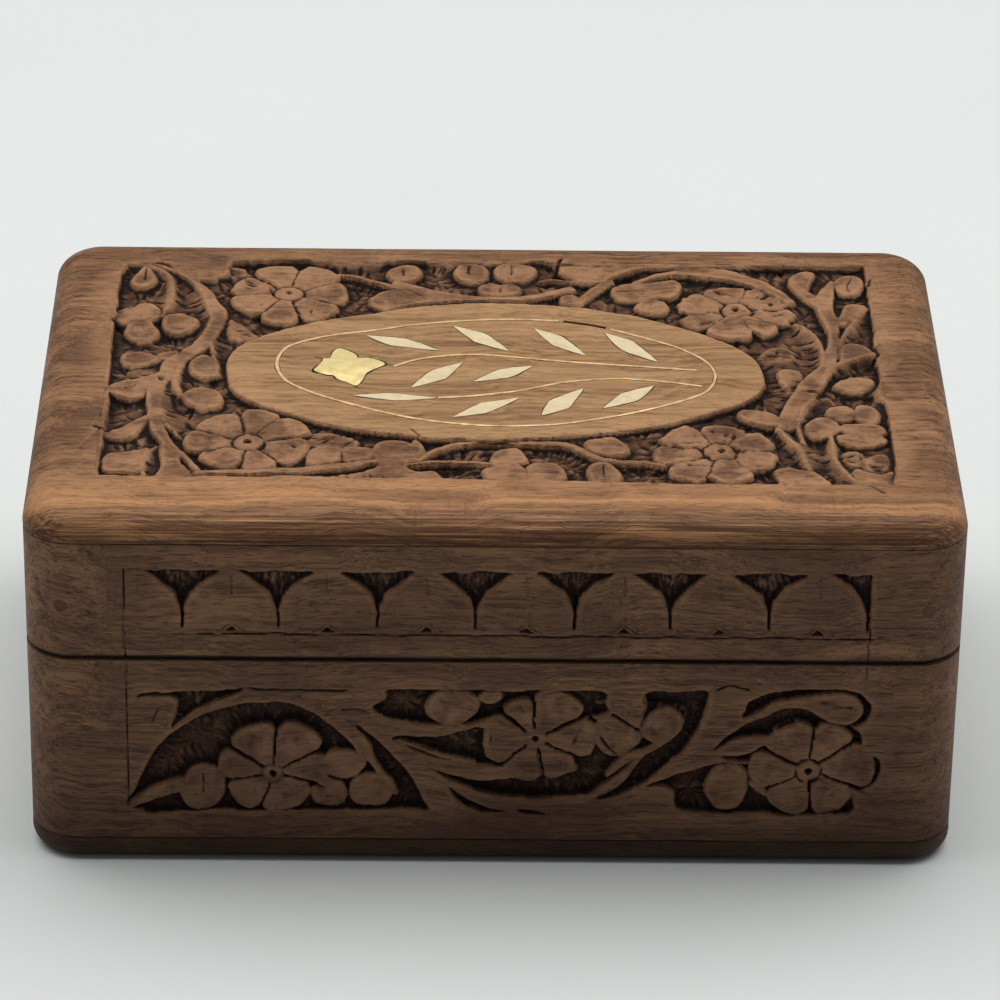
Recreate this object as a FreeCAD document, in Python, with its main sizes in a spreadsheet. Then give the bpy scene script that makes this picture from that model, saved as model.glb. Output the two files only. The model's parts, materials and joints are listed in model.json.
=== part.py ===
"""Carved hardwood jewelry box with an inlaid lid, as parametric solids in a tree of sketches and features.

The box is two glued frames of four walls. The base frame stands on a bottom board, and the lid frame carries a
carved top board. Two brass butt hinges join them along the back, in a V groove whose two bevels meet when the lid
is open and stop it there. The lid's oval medallion holds a quatrefoil, ten leaves, an oval line and two stems.
Both halves are lined with velvet on card.

Frame: millimetres, +Z up, +X to the right along the length, -Y at the front. The origin is the centre of the
bottom face. Every length that drives the model is a cell of the Dimensions sheet.
"""

import FreeCAD, Part
import math
import os

import Sketcher
from FreeCAD import Placement, Rotation, Vector

DIMENSIONS = (
    ("box_length", 152.0, "overall length, along X"),
    ("box_depth", 101.5, "overall depth, front to back"),
    ("wall_thickness", 9.0, "all eight walls"),
    ("corner_radius", 8.0, "the four upright corners"),
    ("floor_thickness", 4.5, "bottom board"),
    ("floor_edge_radius", 3.0, "rounding of the bottom board's lower edge"),
    ("base_wall_height", 34.0, "base frame, above the bottom board"),
    ("seam_gap", 0.4, "air between the closed lid and the base"),
    ("lid_wall_height", 20.9, "lid frame, below the top board"),
    ("top_thickness", 4.7, "top board"),
    ("top_edge_radius", 4.2, "rounding of the top board's upper edge"),
    ("carving_depth", 1.9, "ground of the carving below the surface"),
    ("top_field_length", 129.4, "carved field on the top board"),
    ("top_field_depth", 79.0, "carved field on the top board"),
    ("top_field_shift", 1.7, "field centre behind the board's centre"),
    ("medallion_length", 89.4, "plain oval left standing in the field"),
    ("medallion_depth", 49.0, "plain oval left standing in the field"),
    ("base_field_margin", 15.0, "from a long wall's end to its carving"),
    ("side_field_margin", 9.0, "from a short wall's end to its carving"),
    ("base_field_height", 23.6, "carved field on a base wall"),
    ("base_field_lift", 4.4, "below the carved field on a base wall"),
    ("scallop_pitch", 15.8, "one scallop of the lid's border"),
    ("scallop_rise", 11.6, "height of the scallop border"),
    ("scallop_lift", 4.6, "below the scallop border on a lid wall"),
    ("flower_radius", 8.8, "carved flower, to the tips of its petals"),
    ("inlay_depth", 1.1, "thickness of every inlay piece"),
    ("glue_line", 0.08, "filler around an inlay piece"),
    ("leaf_length", 12.6, "inlaid leaf, tip to tip"),
    ("leaf_width", 3.7, "inlaid leaf, at its middle"),
    ("line_width", 0.55, "inlaid oval line and stems"),
    ("oval_line_length", 73.6, "inlaid oval line, on its centre line"),
    ("oval_line_depth", 38.2, "inlaid oval line, on its centre line"),
    ("oval_line_tilt", 3.0, "degrees that its right end hangs forward"),
    ("quatrefoil_span", 12.2, "inlaid flower, tip to tip"),
    ("hinge_length", 20.0, "along the pin"),
    ("hinge_offset", 46.0, "hinge centre from the box's centre"),
    ("hinge_inset", 2.0, "pin axis inside the back face"),
    ("leaf_reach", 6.4, "hinge leaf, from the pin axis inwards"),
    ("leaf_thickness", 0.9, "hinge leaf"),
    ("barrel_radius", 1.7, "hinge knuckles"),
    ("barrel_relief", 0.25, "room around the knuckles"),
    ("pin_radius", 0.8, "hinge pin"),
    ("pin_clearance", 0.05, "between the pin and the lid's knuckle"),
    ("knuckle_gap", 0.2, "between neighbouring knuckles"),
    ("screw_spread", 6.0, "screw from the hinge's centre"),
    ("screw_inset", 4.3, "screw axis from the pin axis"),
    ("screw_head_radius", 1.45, "countersunk head"),
    ("screw_shank_radius", 0.75, "screw shank"),
    ("screw_length", 6.0, "screw, under its head's top"),
    ("bevel_angle", 50.0, "stop bevel, from the horizontal; the lid opens to twice this"),
    ("bevel_offset", 0.06, "stop bevel behind the pin axis"),
    ("nail_radius", 0.7, "corner nails and bottom pins"),
    ("nail_length", 16.0, "corner nails"),
    ("nail_sink", 1.2, "filler over a corner nail"),
    ("filler_radius", 1.1, "filler over a corner nail"),
    ("nail_inset", 6.2, "corner nail from the box's end"),
    ("floor_pin_length", 11.0, "pins through the bottom board"),
    ("lining_thickness", 0.8, "velvet on card, on the walls"),
    ("pad_thickness", 2.0, "velvet pads on the floor and under the top"),
    ("lining_reveal", 1.2, "bare wood between a lining and the rim"),
    ("lining_play", 0.15, "air beside a lining strip"),
)

# Inlaid leaves: x and y of the middle, in millimetres, the angle of the long axis in degrees, and the length as a
# share of leaf_length. Each was laid by eye, so no two match.
LEAVES = (
    (-15.4, 11.1, -23, 1.05),
    (-2.1, 13.0, -44, 1.02),
    (11.2, 11.9, -49, 1.03),
    (23.2, 10.1, -50, 1.06),
    (-9.7, -0.5, 47, 0.97),
    (1.4, 0.2, 30, 0.90),
    (-16.6, -8.4, -3, 1.08),
    (-1.4, -11.9, 32, 1.01),
    (11.3, -9.8, 54, 0.94),
    (22.2, -7.8, 43, 0.93),
)

# Inlaid stems: points along each centre line, left to right.
STEMS = {
    "inlay_stem_upper": ((-16.6, 3.2), (-11.5, 5.9), (-4.0, 7.0), (4.0, 6.0), (19.0, 3.9), (34.0, 2.1)),
    "inlay_stem_lower": ((-8.8, -8.3), (-1.0, -7.3), (6.5, -4.6), (13.0, -2.0), (21.0, -1.2), (28.5, -2.1), (35.0, -3.8)),
}

QUATREFOIL_AT = (-24.4, 2.1)
QUATREFOIL_TURN = 8.0

# Carved flowers: x and y from the box's centre on the top board, and x along a wall on the base's long walls.
TOP_FLOWERS = ((-35.2, 30.2), (-40.3, -23.4), (41.7, 25.8), (37.0, -25.2))
LONG_WALL_FLOWERS = ((-35.7, 0.0), (6.5, 1.6), (51.7, 0.0))
SIDE_WALL_FLOWERS = ((-17.5, 0.0), (17.5, 0.0))
PETALS = 7

# The lid's border: how many cuts part its scallops, and how far the row's middle is from the wall's.
LONG_BORDER = (8, 4.8)
SIDE_BORDER = (5, 0.0)

doc = FreeCAD.newDocument("CarvedBox")
sheet = doc.addObject("Spreadsheet::Sheet", "Dimensions")
for row, (alias, value, note) in enumerate(DIMENSIONS, start=1):
    sheet.set(f"A{row}", note)
    sheet.set(f"B{row}", str(value))
    sheet.setAlias(f"B{row}", alias)
doc.recompute()


def cell(alias):
    """The number in a cell of the Dimensions sheet."""
    return float(sheet.get(alias))


def bind(obj, **expressions):
    """Binds properties to expressions. A double underscore in a key stands for a dot."""
    for name, text in expressions.items():
        obj.setExpression(name.replace("__", "."), named(text))
    return obj


def named(text):
    """The expression with every cell alias given its sheet's name."""
    words = "".join(c if c.isalnum() or c == "_" else " " for c in text).split()
    for alias in sorted({w for w in words if w in ALIASES}, key=len, reverse=True):
        text = replace_word(text, alias, "Dimensions." + alias)
    return text


def replace_word(text, word, new):
    """text with each whole word replaced, leaving longer names that contain it."""
    out, i = "", 0
    while i < len(text):
        end = i + len(word)
        before = text[i - 1] if i else " "
        after = text[end] if end < len(text) else " "
        whole = not (before.isalnum() or before in "_.") and not (after.isalnum() or after == "_")
        if text[i:end] == word and whole:
            out += new
            i = end
        else:
            out += text[i]
            i += 1
    return out


ALIASES = {alias for alias, _, _ in DIMENSIONS}

# Heights and offsets that several parts share, as expressions.
BASE_RIM = "(floor_thickness + base_wall_height)"
LID_RIM = f"({BASE_RIM} + seam_gap)"
TOP_SEAM = f"({LID_RIM} + lid_wall_height)"
TOP_FACE = f"({TOP_SEAM} + top_thickness)"
AXIS_Y = "(box_depth / 2 - hinge_inset)"
AXIS_Z = f"({BASE_RIM} + seam_gap / 2)"
LONG_WALL_Y = "(box_depth / 2 - wall_thickness / 2)"
SIDE_WALL_X = "(box_length / 2 - wall_thickness / 2)"
INNER_LENGTH = "(box_length - 2 * wall_thickness)"
INNER_DEPTH = "(box_depth - 2 * wall_thickness)"


def value_of(text):
    """An expression of cells, worked out in Python for parts that are built from Part's own functions."""
    return float(cell_value(text))


def cell_value(text):
    """Works out an expression with a scratch cell of the sheet."""
    scratch = f"D{len(DIMENSIONS) + 5}"
    sheet.set(scratch, "=" + text)
    sheet.recompute()
    found = sheet.get(scratch)
    sheet.clear(scratch)
    return getattr(found, "Value", found)


# ---------------------------------------------------------------- PartDesign helpers


def new_body(name):
    body = doc.addObject("PartDesign::Body", name)
    body.Label = name
    return body


def origin_plane(body, role):
    return next(f for f in body.Origin.OriginFeatures if f.Role == role)


def new_sketch(body, name, plane):
    sketch = body.newObject("Sketcher::SketchObject", name)
    sketch.AttachmentSupport = (origin_plane(body, plane), [""])
    sketch.MapMode = "FlatFace"
    return sketch


def add_rectangle(sketch, width, height):
    """A rectangle centred on the sketch's origin, its sides bound to two expressions."""
    w, h = value_of(width) / 2, value_of(height) / 2
    corners = [Vector(-w, -h), Vector(w, -h), Vector(w, h), Vector(-w, h)]
    lines = [sketch.addGeometry(Part.LineSegment(corners[k], corners[(k + 1) % 4])) for k in range(4)]
    for k in range(4):
        sketch.addConstraint(Sketcher.Constraint("Coincident", lines[k], 2, lines[(k + 1) % 4], 1))
        side = "Horizontal" if k % 2 == 0 else "Vertical"
        sketch.addConstraint(Sketcher.Constraint(side, lines[k]))
    sketch.addConstraint(Sketcher.Constraint("Symmetric", lines[0], 1, lines[1], 2, -1, 1))
    across = sketch.addConstraint(Sketcher.Constraint("DistanceX", lines[0], 1, lines[0], 2, 2 * w))
    up = sketch.addConstraint(Sketcher.Constraint("DistanceY", lines[1], 1, lines[1], 2, 2 * h))
    sketch.renameConstraint(across, "width")
    sketch.renameConstraint(up, "height")
    bind(sketch, Constraints__width=width, Constraints__height=height)


def rectangle_sketch(body, name, plane, width, height):
    sketch = new_sketch(body, name, plane)
    add_rectangle(sketch, width, height)
    return sketch


def pad(body, sketch, length, name="Pad"):
    feature = body.newObject("PartDesign::Pad", name)
    feature.Profile = sketch
    bind(feature, Length=length)
    sketch.Visibility = False
    return feature


def pocket(body, sketch, depth, name="Pocket"):
    feature = body.newObject("PartDesign::Pocket", name)
    feature.Profile = sketch
    bind(feature, Length=depth)
    return feature


def checked_cut(body, before, feature):
    """Makes sure that a pocket took material away."""
    doc.recompute()
    if not feature.Shape.Volume < before - 0.1:
        raise RuntimeError(f"{body.Label}: {feature.Name} cut nothing")


def fillet(body, feature, edges, radius, name):
    rounding = body.newObject("PartDesign::Fillet", name)
    rounding.Base = (feature, edges)
    bind(rounding, Radius=radius)
    doc.recompute()
    return rounding


def edges_where(shape, test):
    """The names of the edges whose bounding box passes a test."""
    return [f"Edge{k}" for k, edge in enumerate(shape.Edges, start=1) if test(edge.BoundBox)]


# ---------------------------------------------------------------- outlines


def flower_outline(x, y, radius, petals, turn=0.0):
    """Arcs around a flower: each petal is one arc from notch to notch."""
    notch = 0.72 * radius
    step = 2 * math.pi / petals

    def point(r, angle):
        return Vector(x + r * math.cos(angle), y + r * math.sin(angle))

    arcs = []
    for k in range(petals):
        middle = turn + k * step
        start, end = point(notch, middle - step / 2), point(notch, middle + step / 2)
        arcs.append(Part.Arc(start, point(radius, middle), end))
    return arcs


def spandrel_outline(x, foot, top, pitch):
    """The cut between two scallops: a straight top between their tips and two arcs down to a slit."""
    half = 0.42 * pitch
    shoulder = foot + 0.62 * (top - foot)
    slit = Vector(x, foot + 0.14 * (top - foot))
    left, right = Vector(x - half, top), Vector(x + half, top)
    return [
        Part.Arc(left, Vector(x - 0.16 * pitch, shoulder), slit),
        Part.Arc(slit, Vector(x + 0.16 * pitch, shoulder), right),
        Part.LineSegment(right, left),
    ]


def add_outline(sketch, geometry):
    for item in geometry:
        sketch.addGeometry(item)


# ---------------------------------------------------------------- walls


def wall_blank(name, length, height, rounded):
    """An upright board, its outer face towards -Y, standing on its body's origin."""
    body = new_body(name)
    profile = rectangle_sketch(body, name + "_profile", "XY_Plane", length, "wall_thickness")
    board = pad(body, profile, height, name + "_board")
    doc.recompute()
    if rounded:
        outer = -cell("wall_thickness") / 2

        def upright_outer(box):
            return box.ZLength > 1 and box.XLength < 0.01 and abs(box.YMax - outer) < 0.01

        board = fillet(body, board, edges_where(board.Shape, upright_outer), "corner_radius", name + "_corners")
    return body, board


def carve_wall(body, board, sketch):
    """Cuts a sketch that lies on the wall's outer face to the ground of the carving."""
    before = board.Shape.Volume
    ground = pocket(body, sketch, "carving_depth", body.Name + "_ground")
    checked_cut(body, before, ground)
    return ground


def outer_face_sketch(body, name, lift):
    """A sketch on the wall's outer face, its origin lift above the wall's foot."""
    sketch = new_sketch(body, name, "XZ_Plane")
    bind(sketch, AttachmentOffset__Base__y=lift, AttachmentOffset__Base__z="wall_thickness / 2")
    return sketch


def base_wall(name, length, margin, flowers, rounded):
    """A base wall: a sunk field with its flowers left standing."""
    body, board = wall_blank(name, length, "base_wall_height", rounded)
    sketch = outer_face_sketch(body, name + "_field", "base_field_lift + base_field_height / 2")
    add_rectangle(sketch, f"{length} - 2 * {margin}", "base_field_height")
    for x, y in flowers:
        add_outline(sketch, flower_outline(x, y, cell("flower_radius"), PETALS, math.pi / 2))
    carve_wall(body, board, sketch)
    return body


def lid_wall(name, length, spandrels, shift, rounded):
    """A lid wall: a row of scallops, parted by cuts down from their tips."""
    body, board = wall_blank(name, length, "lid_wall_height", rounded)
    sketch = outer_face_sketch(body, name + "_scallops", "scallop_lift")
    pitch = cell("scallop_pitch")
    for k in range(spandrels):
        x = shift + (k - (spandrels - 1) / 2) * pitch
        add_outline(sketch, spandrel_outline(x, 0.0, cell("scallop_rise"), pitch))
    carve_wall(body, board, sketch)
    return body


def stand(body, x, y, z, turn):
    """Places a wall: turn is the angle that brings its outer face from the front to its own side."""
    body.Placement = Placement(Vector(0, 0, 0), Rotation(Vector(0, 0, 1), turn))
    bind(body, Placement__Base__x=x, Placement__Base__y=y, Placement__Base__z=z)
    return body


SIDES = {
    "front": ("0", f"-{LONG_WALL_Y}", 0),
    "right": (SIDE_WALL_X, "0", 90),
    "back": ("0", LONG_WALL_Y, 180),
    "left": (f"-{SIDE_WALL_X}", "0", 270),
}


def frame_walls():
    """The eight walls as blanks, carved but not yet drilled or let in for the hinges."""
    walls = {}
    for side, (x, y, turn) in SIDES.items():
        long_wall = side in ("front", "back")
        length = "box_length" if long_wall else INNER_DEPTH
        flowers = LONG_WALL_FLOWERS if long_wall else SIDE_WALL_FLOWERS
        margin = "base_field_margin" if long_wall else "side_field_margin"
        base = base_wall(f"base_{side}_blank", length, margin, flowers, long_wall)
        spandrels, shift = LONG_BORDER if long_wall else SIDE_BORDER
        lid = lid_wall(f"lid_{side}_blank", length, spandrels, shift, long_wall)
        walls[f"base_{side}_wall"] = stand(base, x, y, "floor_thickness", turn)
        walls[f"lid_{side}_wall"] = stand(lid, x, y, LID_RIM, turn)
    return walls


# ---------------------------------------------------------------- boards


def rounded_board(name, thickness, edge_radius, edge_at_top):
    """A board with round corners in plan and one long edge rounded all the way round."""
    body = new_body(name)
    profile = rectangle_sketch(body, name + "_profile", "XY_Plane", "box_length", "box_depth")
    slab = pad(body, profile, thickness, name + "_slab")
    doc.recompute()
    upright = edges_where(slab.Shape, lambda box: box.ZLength > 1)
    corners = fillet(body, slab, upright, "corner_radius", name + "_corners")
    level = value_of(thickness) if edge_at_top else 0.0
    rim = edges_where(corners.Shape, lambda box: box.ZLength < 0.01 and abs(box.ZMin - level) < 0.01)
    eased = fillet(body, corners, rim, edge_radius, name + "_eased_edge")
    return body, eased


def bottom_board():
    body, _ = rounded_board("base_floor_blank", "floor_thickness", "floor_edge_radius", False)
    return body


def top_board():
    """The top board with its sunk field, its plain oval and its flowers."""
    body, eased = rounded_board("lid_top_blank", "top_thickness", "top_edge_radius", True)
    bind(body, Placement__Base__z=TOP_SEAM)
    field = new_sketch(body, "lid_top_field", "XY_Plane")
    bind(field, AttachmentOffset__Base__y="top_field_shift", AttachmentOffset__Base__z="top_thickness")
    add_rectangle(field, "top_field_length", "top_field_depth")
    shift = cell("top_field_shift")
    centre = Vector(0, 0.3)
    long_end = centre + Vector(cell("medallion_length") / 2, 0)
    short_end = centre + Vector(0, cell("medallion_depth") / 2)
    field.addGeometry(Part.Ellipse(long_end, short_end, centre))
    for x, y in TOP_FLOWERS:
        add_outline(field, flower_outline(x, y - shift, cell("flower_radius"), PETALS))
    before = eased.Shape.Volume
    ground = pocket(body, field, "carving_depth", "lid_top_ground")
    checked_cut(body, before, ground)
    return body


# ---------------------------------------------------------------- primitives


def box(name, x, y, z, length, width, height):
    """A box from its lowest corner and its three sides, all as expressions."""
    solid = doc.addObject("Part::Box", name)
    return bind(
        solid,
        Length=length,
        Width=width,
        Height=height,
        Placement__Base__x=x,
        Placement__Base__y=y,
        Placement__Base__z=z,
    )


def rod(name, direction, x, y, z, radius, length):
    """A cylinder that starts at a point and runs along a direction."""
    solid = doc.addObject("Part::Cylinder", name)
    solid.Placement = Placement(Vector(0, 0, 0), Rotation(Vector(0, 0, 1), Vector(*direction)))
    return bind(
        solid,
        Radius=radius,
        Height=length,
        Placement__Base__x=x,
        Placement__Base__y=y,
        Placement__Base__z=z,
    )


def cone(name, direction, x, y, z, radius, end_radius, length):
    solid = doc.addObject("Part::Cone", name)
    solid.Placement = Placement(Vector(0, 0, 0), Rotation(Vector(0, 0, 1), Vector(*direction)))
    return bind(
        solid,
        Radius1=radius,
        Radius2=end_radius,
        Height=length,
        Placement__Base__x=x,
        Placement__Base__y=y,
        Placement__Base__z=z,
    )


def common(name, base, tool):
    """What two solids share."""
    shared = doc.addObject("Part::Common", name)
    shared.Base = base
    shared.Tool = tool
    return shared


def fuse(name, shapes):
    joined = doc.addObject("Part::MultiFuse", name)
    joined.Shapes = shapes
    return joined


def cut(name, base, tool):
    part = doc.addObject("Part::Cut", name)
    part.Base = base
    part.Tool = tool
    part.Label = name
    return part


def group(name, shapes):
    """Separate solids that share one node."""
    compound = doc.addObject("Part::Compound", name)
    compound.Links = shapes
    compound.Label = name
    return compound


# ---------------------------------------------------------------- hinges

UP, DOWN, RIGHT, BACK = (0, 0, 1), (0, 0, -1), (1, 0, 0), (0, 1, 0)
HINGES = {"left": "-hinge_offset", "right": "hinge_offset"}
MIDDLE_KNUCKLE = "(hinge_length / 3)"
END_KNUCKLE = "((hinge_length - hinge_length / 3) / 2 - knuckle_gap)"
LEAF_NOTCH = "(barrel_radius + barrel_relief)"
SINK = "(screw_head_radius - screw_shank_radius)"


def screw_places(hinge_x):
    return [(k, f"{hinge_x} {sign} screw_spread") for k, sign in enumerate("-+", start=1)]


def hinge_recess(side):
    """What both back walls lose to one hinge: the leaves' mortises, room for the knuckles and pilot holes."""
    x = HINGES[side]
    start = f"{x} - hinge_length / 2 - knuckle_gap"
    length = "hinge_length + 2 * knuckle_gap"
    depth = "2 * barrel_radius"
    reach = "(leaf_reach + 0.1)"
    mortise = box(
        f"recess_{side}_mortise", start, f"{AXIS_Y} - {reach}", f"{AXIS_Z} - barrel_radius", length, reach, depth
    )
    relief = rod(
        f"recess_{side}_knuckles", RIGHT, start, AXIS_Y, AXIS_Z, "barrel_radius + barrel_relief", length
    )
    pilots = [
        rod(
            f"recess_{side}_pilot_{k}",
            UP,
            at,
            f"{AXIS_Y} - screw_inset",
            f"{AXIS_Z} - barrel_radius + leaf_thickness - screw_length",
            "screw_shank_radius",
            "2 * (screw_length + barrel_radius - leaf_thickness)",
        )
        for k, at in screw_places(x)
    ]
    return [mortise, relief, *pilots]


def stop_groove():
    """The V groove along the back: two bevels that spread from the pin axis to the back face."""
    body = new_body("stop_groove")
    sketch = new_sketch(body, "stop_groove_profile", "YZ_Plane")
    run = 3.0
    rise = run * math.tan(math.radians(cell("bevel_angle")))
    corners = [Vector(0, 0), Vector(run, -rise), Vector(run, rise)]
    lines = [sketch.addGeometry(Part.LineSegment(corners[k], corners[(k + 1) % 3])) for k in range(3)]
    for k in range(3):
        sketch.addConstraint(Sketcher.Constraint("Coincident", lines[k], 2, lines[(k + 1) % 3], 1))
    sketch.addConstraint(Sketcher.Constraint("Coincident", lines[0], 1, -1, 1))
    sketch.addConstraint(Sketcher.Constraint("Symmetric", lines[0], 2, lines[1], 2, -1))
    across = sketch.addConstraint(Sketcher.Constraint("DistanceX", lines[0], 1, lines[0], 2, run))
    up = sketch.addConstraint(Sketcher.Constraint("DistanceY", lines[1], 1, lines[1], 2, 2 * rise))
    sketch.renameConstraint(across, "run")
    sketch.renameConstraint(up, "mouth")
    bind(sketch, Constraints__run=str(run), Constraints__mouth=f"2 * {run} * tan(bevel_angle * 1deg)")
    groove = pad(body, sketch, "box_length + 2", "stop_groove_prism")
    groove.Midplane = True
    bind(body, Placement__Base__y=f"{AXIS_Y} - bevel_offset", Placement__Base__z=AXIS_Z)
    return body


def hinge_leaf(name, side, lid):
    """One leaf with its knuckles. The base leaf has the two end knuckles and the lid leaf the middle one."""
    x = HINGES[side]
    plate_z = f"{AXIS_Z} + barrel_radius - leaf_thickness" if lid else f"{AXIS_Z} - barrel_radius"
    left_end = f"{x} - hinge_length / 2"
    plate = box(
        f"{name}_plate",
        left_end,
        f"{AXIS_Y} - leaf_reach",
        plate_z,
        "hinge_length",
        f"leaf_reach - {LEAF_NOTCH}",
        "leaf_thickness",
    )
    if lid:
        knuckles = [(f"{x} - {MIDDLE_KNUCKLE} / 2", MIDDLE_KNUCKLE)]
    else:
        knuckles = [(left_end, END_KNUCKLE), (f"{x} + hinge_length / 2 - {END_KNUCKLE}", END_KNUCKLE)]
    solids = [plate]
    for k, (start, length) in enumerate(knuckles, start=1):
        solids.append(
            box(
                f"{name}_strap_{k}",
                start,
                f"{AXIS_Y} - {LEAF_NOTCH} - 0.1",
                plate_z,
                length,
                f"{LEAF_NOTCH} + 0.1",
                "leaf_thickness",
            )
        )
        solids.append(rod(f"{name}_knuckle_{k}", RIGHT, start, AXIS_Y, AXIS_Z, "barrel_radius", length))
    bore = "pin_radius + pin_clearance" if lid else "pin_radius"
    tools = [rod(f"{name}_bore", RIGHT, f"{left_end} - 1", AXIS_Y, AXIS_Z, bore, "hinge_length + 2")]
    for k, at in screw_places(x):
        tools += screw_solids(f"{name}_hole_{k}", at, lid, "0.03")
    return cut(name, fuse(f"{name}_body", solids), fuse(f"{name}_holes", tools))


def screw_solids(name, x, lid, grow):
    """A countersunk head and its shank, from the leaf's inner face into the wood, grown by a clearance."""
    direction = UP if lid else DOWN
    y = f"{AXIS_Y} - screw_inset"
    face = "barrel_radius - leaf_thickness"
    head_z = f"{AXIS_Z} + {face}" if lid else f"{AXIS_Z} - ({face})"
    return [
        cone(
            f"{name}_head", direction, x, y, head_z, f"screw_head_radius + {grow}", f"screw_shank_radius + {grow}", SINK
        ),
        rod(f"{name}_shank", direction, x, y, head_z, f"screw_shank_radius + {grow}", "screw_length"),
    ]


def hinge_screws(name, side, lid):
    """The two slotted screws of one leaf."""
    screws = []
    face = "barrel_radius - leaf_thickness"
    slot_z = f"{AXIS_Z} + {face} - 0.1" if lid else f"{AXIS_Z} - ({face}) - 0.3"
    for k, at in screw_places(HINGES[side]):
        solid = fuse(f"{name}_{k}_solid", screw_solids(f"{name}_{k}", at, lid, "0"))
        slot = box(
            f"{name}_{k}_slot",
            f"{at} - screw_head_radius - 0.1",
            f"{AXIS_Y} - screw_inset - 0.2",
            slot_z,
            "2 * screw_head_radius + 0.2",
            "0.4",
            "0.4",
        )
        screws.append(cut(f"{name}_{k}", solid, slot))
    return group(name, screws)


def hinge_pin(name, side):
    x = HINGES[side]
    pin = rod(name, RIGHT, f"{x} - hinge_length / 2", AXIS_Y, AXIS_Z, "pin_radius", "hinge_length")
    pin.Label = name
    return pin


# ---------------------------------------------------------------- nails


def corner_nail(name, x_sign, y_sign):
    """A nail through a long lid wall into a side wall's end, with its filler: (nail, filler, hole)."""
    x = f"{x_sign}(box_length / 2 - nail_inset)"
    face = f"{y_sign}box_depth / 2"
    inward = (0, -1 if y_sign == "" else 1, 0)
    towards = "-" if y_sign == "" else "+"
    z = f"{LID_RIM} + lid_wall_height / 2 - 1"
    sunk = f"{face} {towards} nail_sink"
    nail = rod(f"{name}_nail", inward, x, sunk, z, "nail_radius", "nail_length")
    filler = rod(f"{name}_filler", inward, x, face, z, "filler_radius", "nail_sink")
    hole = [
        rod(f"{name}_nail_hole", inward, x, sunk, z, "nail_radius", "nail_length"),
        rod(f"{name}_filler_hole", inward, x, face, z, "filler_radius", "nail_sink"),
    ]
    return nail, filler, hole


def floor_pins():
    """Six pins up through the bottom board into the long walls, and what they displace."""
    pins, holes = [], []
    for row, y in (("front", f"-{LONG_WALL_Y}"), ("back", LONG_WALL_Y)):
        for k, x in enumerate(("-(box_length / 2 - 14)", "0", "box_length / 2 - 14"), start=1):
            pins.append(rod(f"pin_{row}_{k}", UP, x, y, "0.2", "nail_radius", "floor_pin_length"))
            holes.append(rod(f"pin_hole_{row}_{k}", UP, x, y, "0", "nail_radius", "floor_pin_length + 0.2"))
    return pins, holes


# ---------------------------------------------------------------- inlay


def leaf_body(name, x, y, turn, share):
    """One leaf: a lozenge with its long axis along its body's X."""
    body = new_body(name)
    sketch = new_sketch(body, name + "_outline", "XY_Plane")
    half, side = cell("leaf_length") * share / 2, cell("leaf_width") / 2
    corners = [Vector(-half, 0), Vector(0, -side), Vector(half, 0), Vector(0, side)]
    lines = [sketch.addGeometry(Part.LineSegment(corners[k], corners[(k + 1) % 4])) for k in range(4)]
    for k in range(4):
        sketch.addConstraint(Sketcher.Constraint("Coincident", lines[k], 2, lines[(k + 1) % 4], 1))
    sketch.addConstraint(Sketcher.Constraint("Symmetric", lines[0], 1, lines[1], 2, -1, 1))
    sketch.addConstraint(Sketcher.Constraint("Symmetric", lines[0], 2, lines[2], 2, -1, 1))
    sketch.addConstraint(Sketcher.Constraint("PointOnObject", lines[0], 1, -1))
    sketch.addConstraint(Sketcher.Constraint("PointOnObject", lines[0], 2, -2))
    long_way = sketch.addConstraint(Sketcher.Constraint("DistanceX", lines[0], 1, lines[1], 2, 2 * half))
    across = sketch.addConstraint(Sketcher.Constraint("DistanceY", lines[0], 2, lines[2], 2, 2 * side))
    sketch.renameConstraint(long_way, "length")
    sketch.renameConstraint(across, "width")
    bind(sketch, Constraints__length=f"leaf_length * {share}", Constraints__width="leaf_width")
    pad(body, sketch, "inlay_depth", name + "_slip")
    body.Placement = Placement(Vector(x, y, 0), Rotation(Vector(0, 0, 1), turn))
    bind(body, Placement__Base__z=f"{TOP_FACE} - inlay_depth")
    return body


def leaf_recess(x, y, turn, share):
    """The leaf's lozenge grown by the glue line on every side."""
    grow = cell("glue_line")
    half, side = cell("leaf_length") * share / 2, cell("leaf_width") / 2
    lean = math.atan2(side, half)
    half += grow / math.sin(lean)
    side += grow / math.cos(lean)
    corners = [Vector(-half, 0), Vector(0, -side), Vector(half, 0), Vector(0, side), Vector(-half, 0)]
    face = Part.Face(Part.makePolygon(corners))
    face.Placement = Placement(Vector(x, y, 0), Rotation(Vector(0, 0, 1), turn))
    return face


def quatrefoil(grow):
    """Four pointed petals: two curved sides each, meeting at a tip, with a notch between neighbours."""
    tip = cell("quatrefoil_span") / 2 + 1.4 * grow
    notch = 0.44 * cell("quatrefoil_span") / 2 + grow
    turn = math.radians(QUATREFOIL_TURN)
    x, y = QUATREFOIL_AT
    edges = []
    for k in range(4):
        angle = turn + k * math.pi / 2

        def point(r, a, angle=angle):
            return Vector(x + r * math.cos(angle + a), y + r * math.sin(angle + a))

        start, end, top = point(notch, -math.pi / 4), point(notch, math.pi / 4), point(tip, 0)
        for one, two, lean in ((start, top, -0.36), (top, end, 0.36)):
            edges.append(Part.Arc(one, point(0.8 * tip, lean), two).toShape())
    return Part.Face(Part.Wire(edges))


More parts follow.
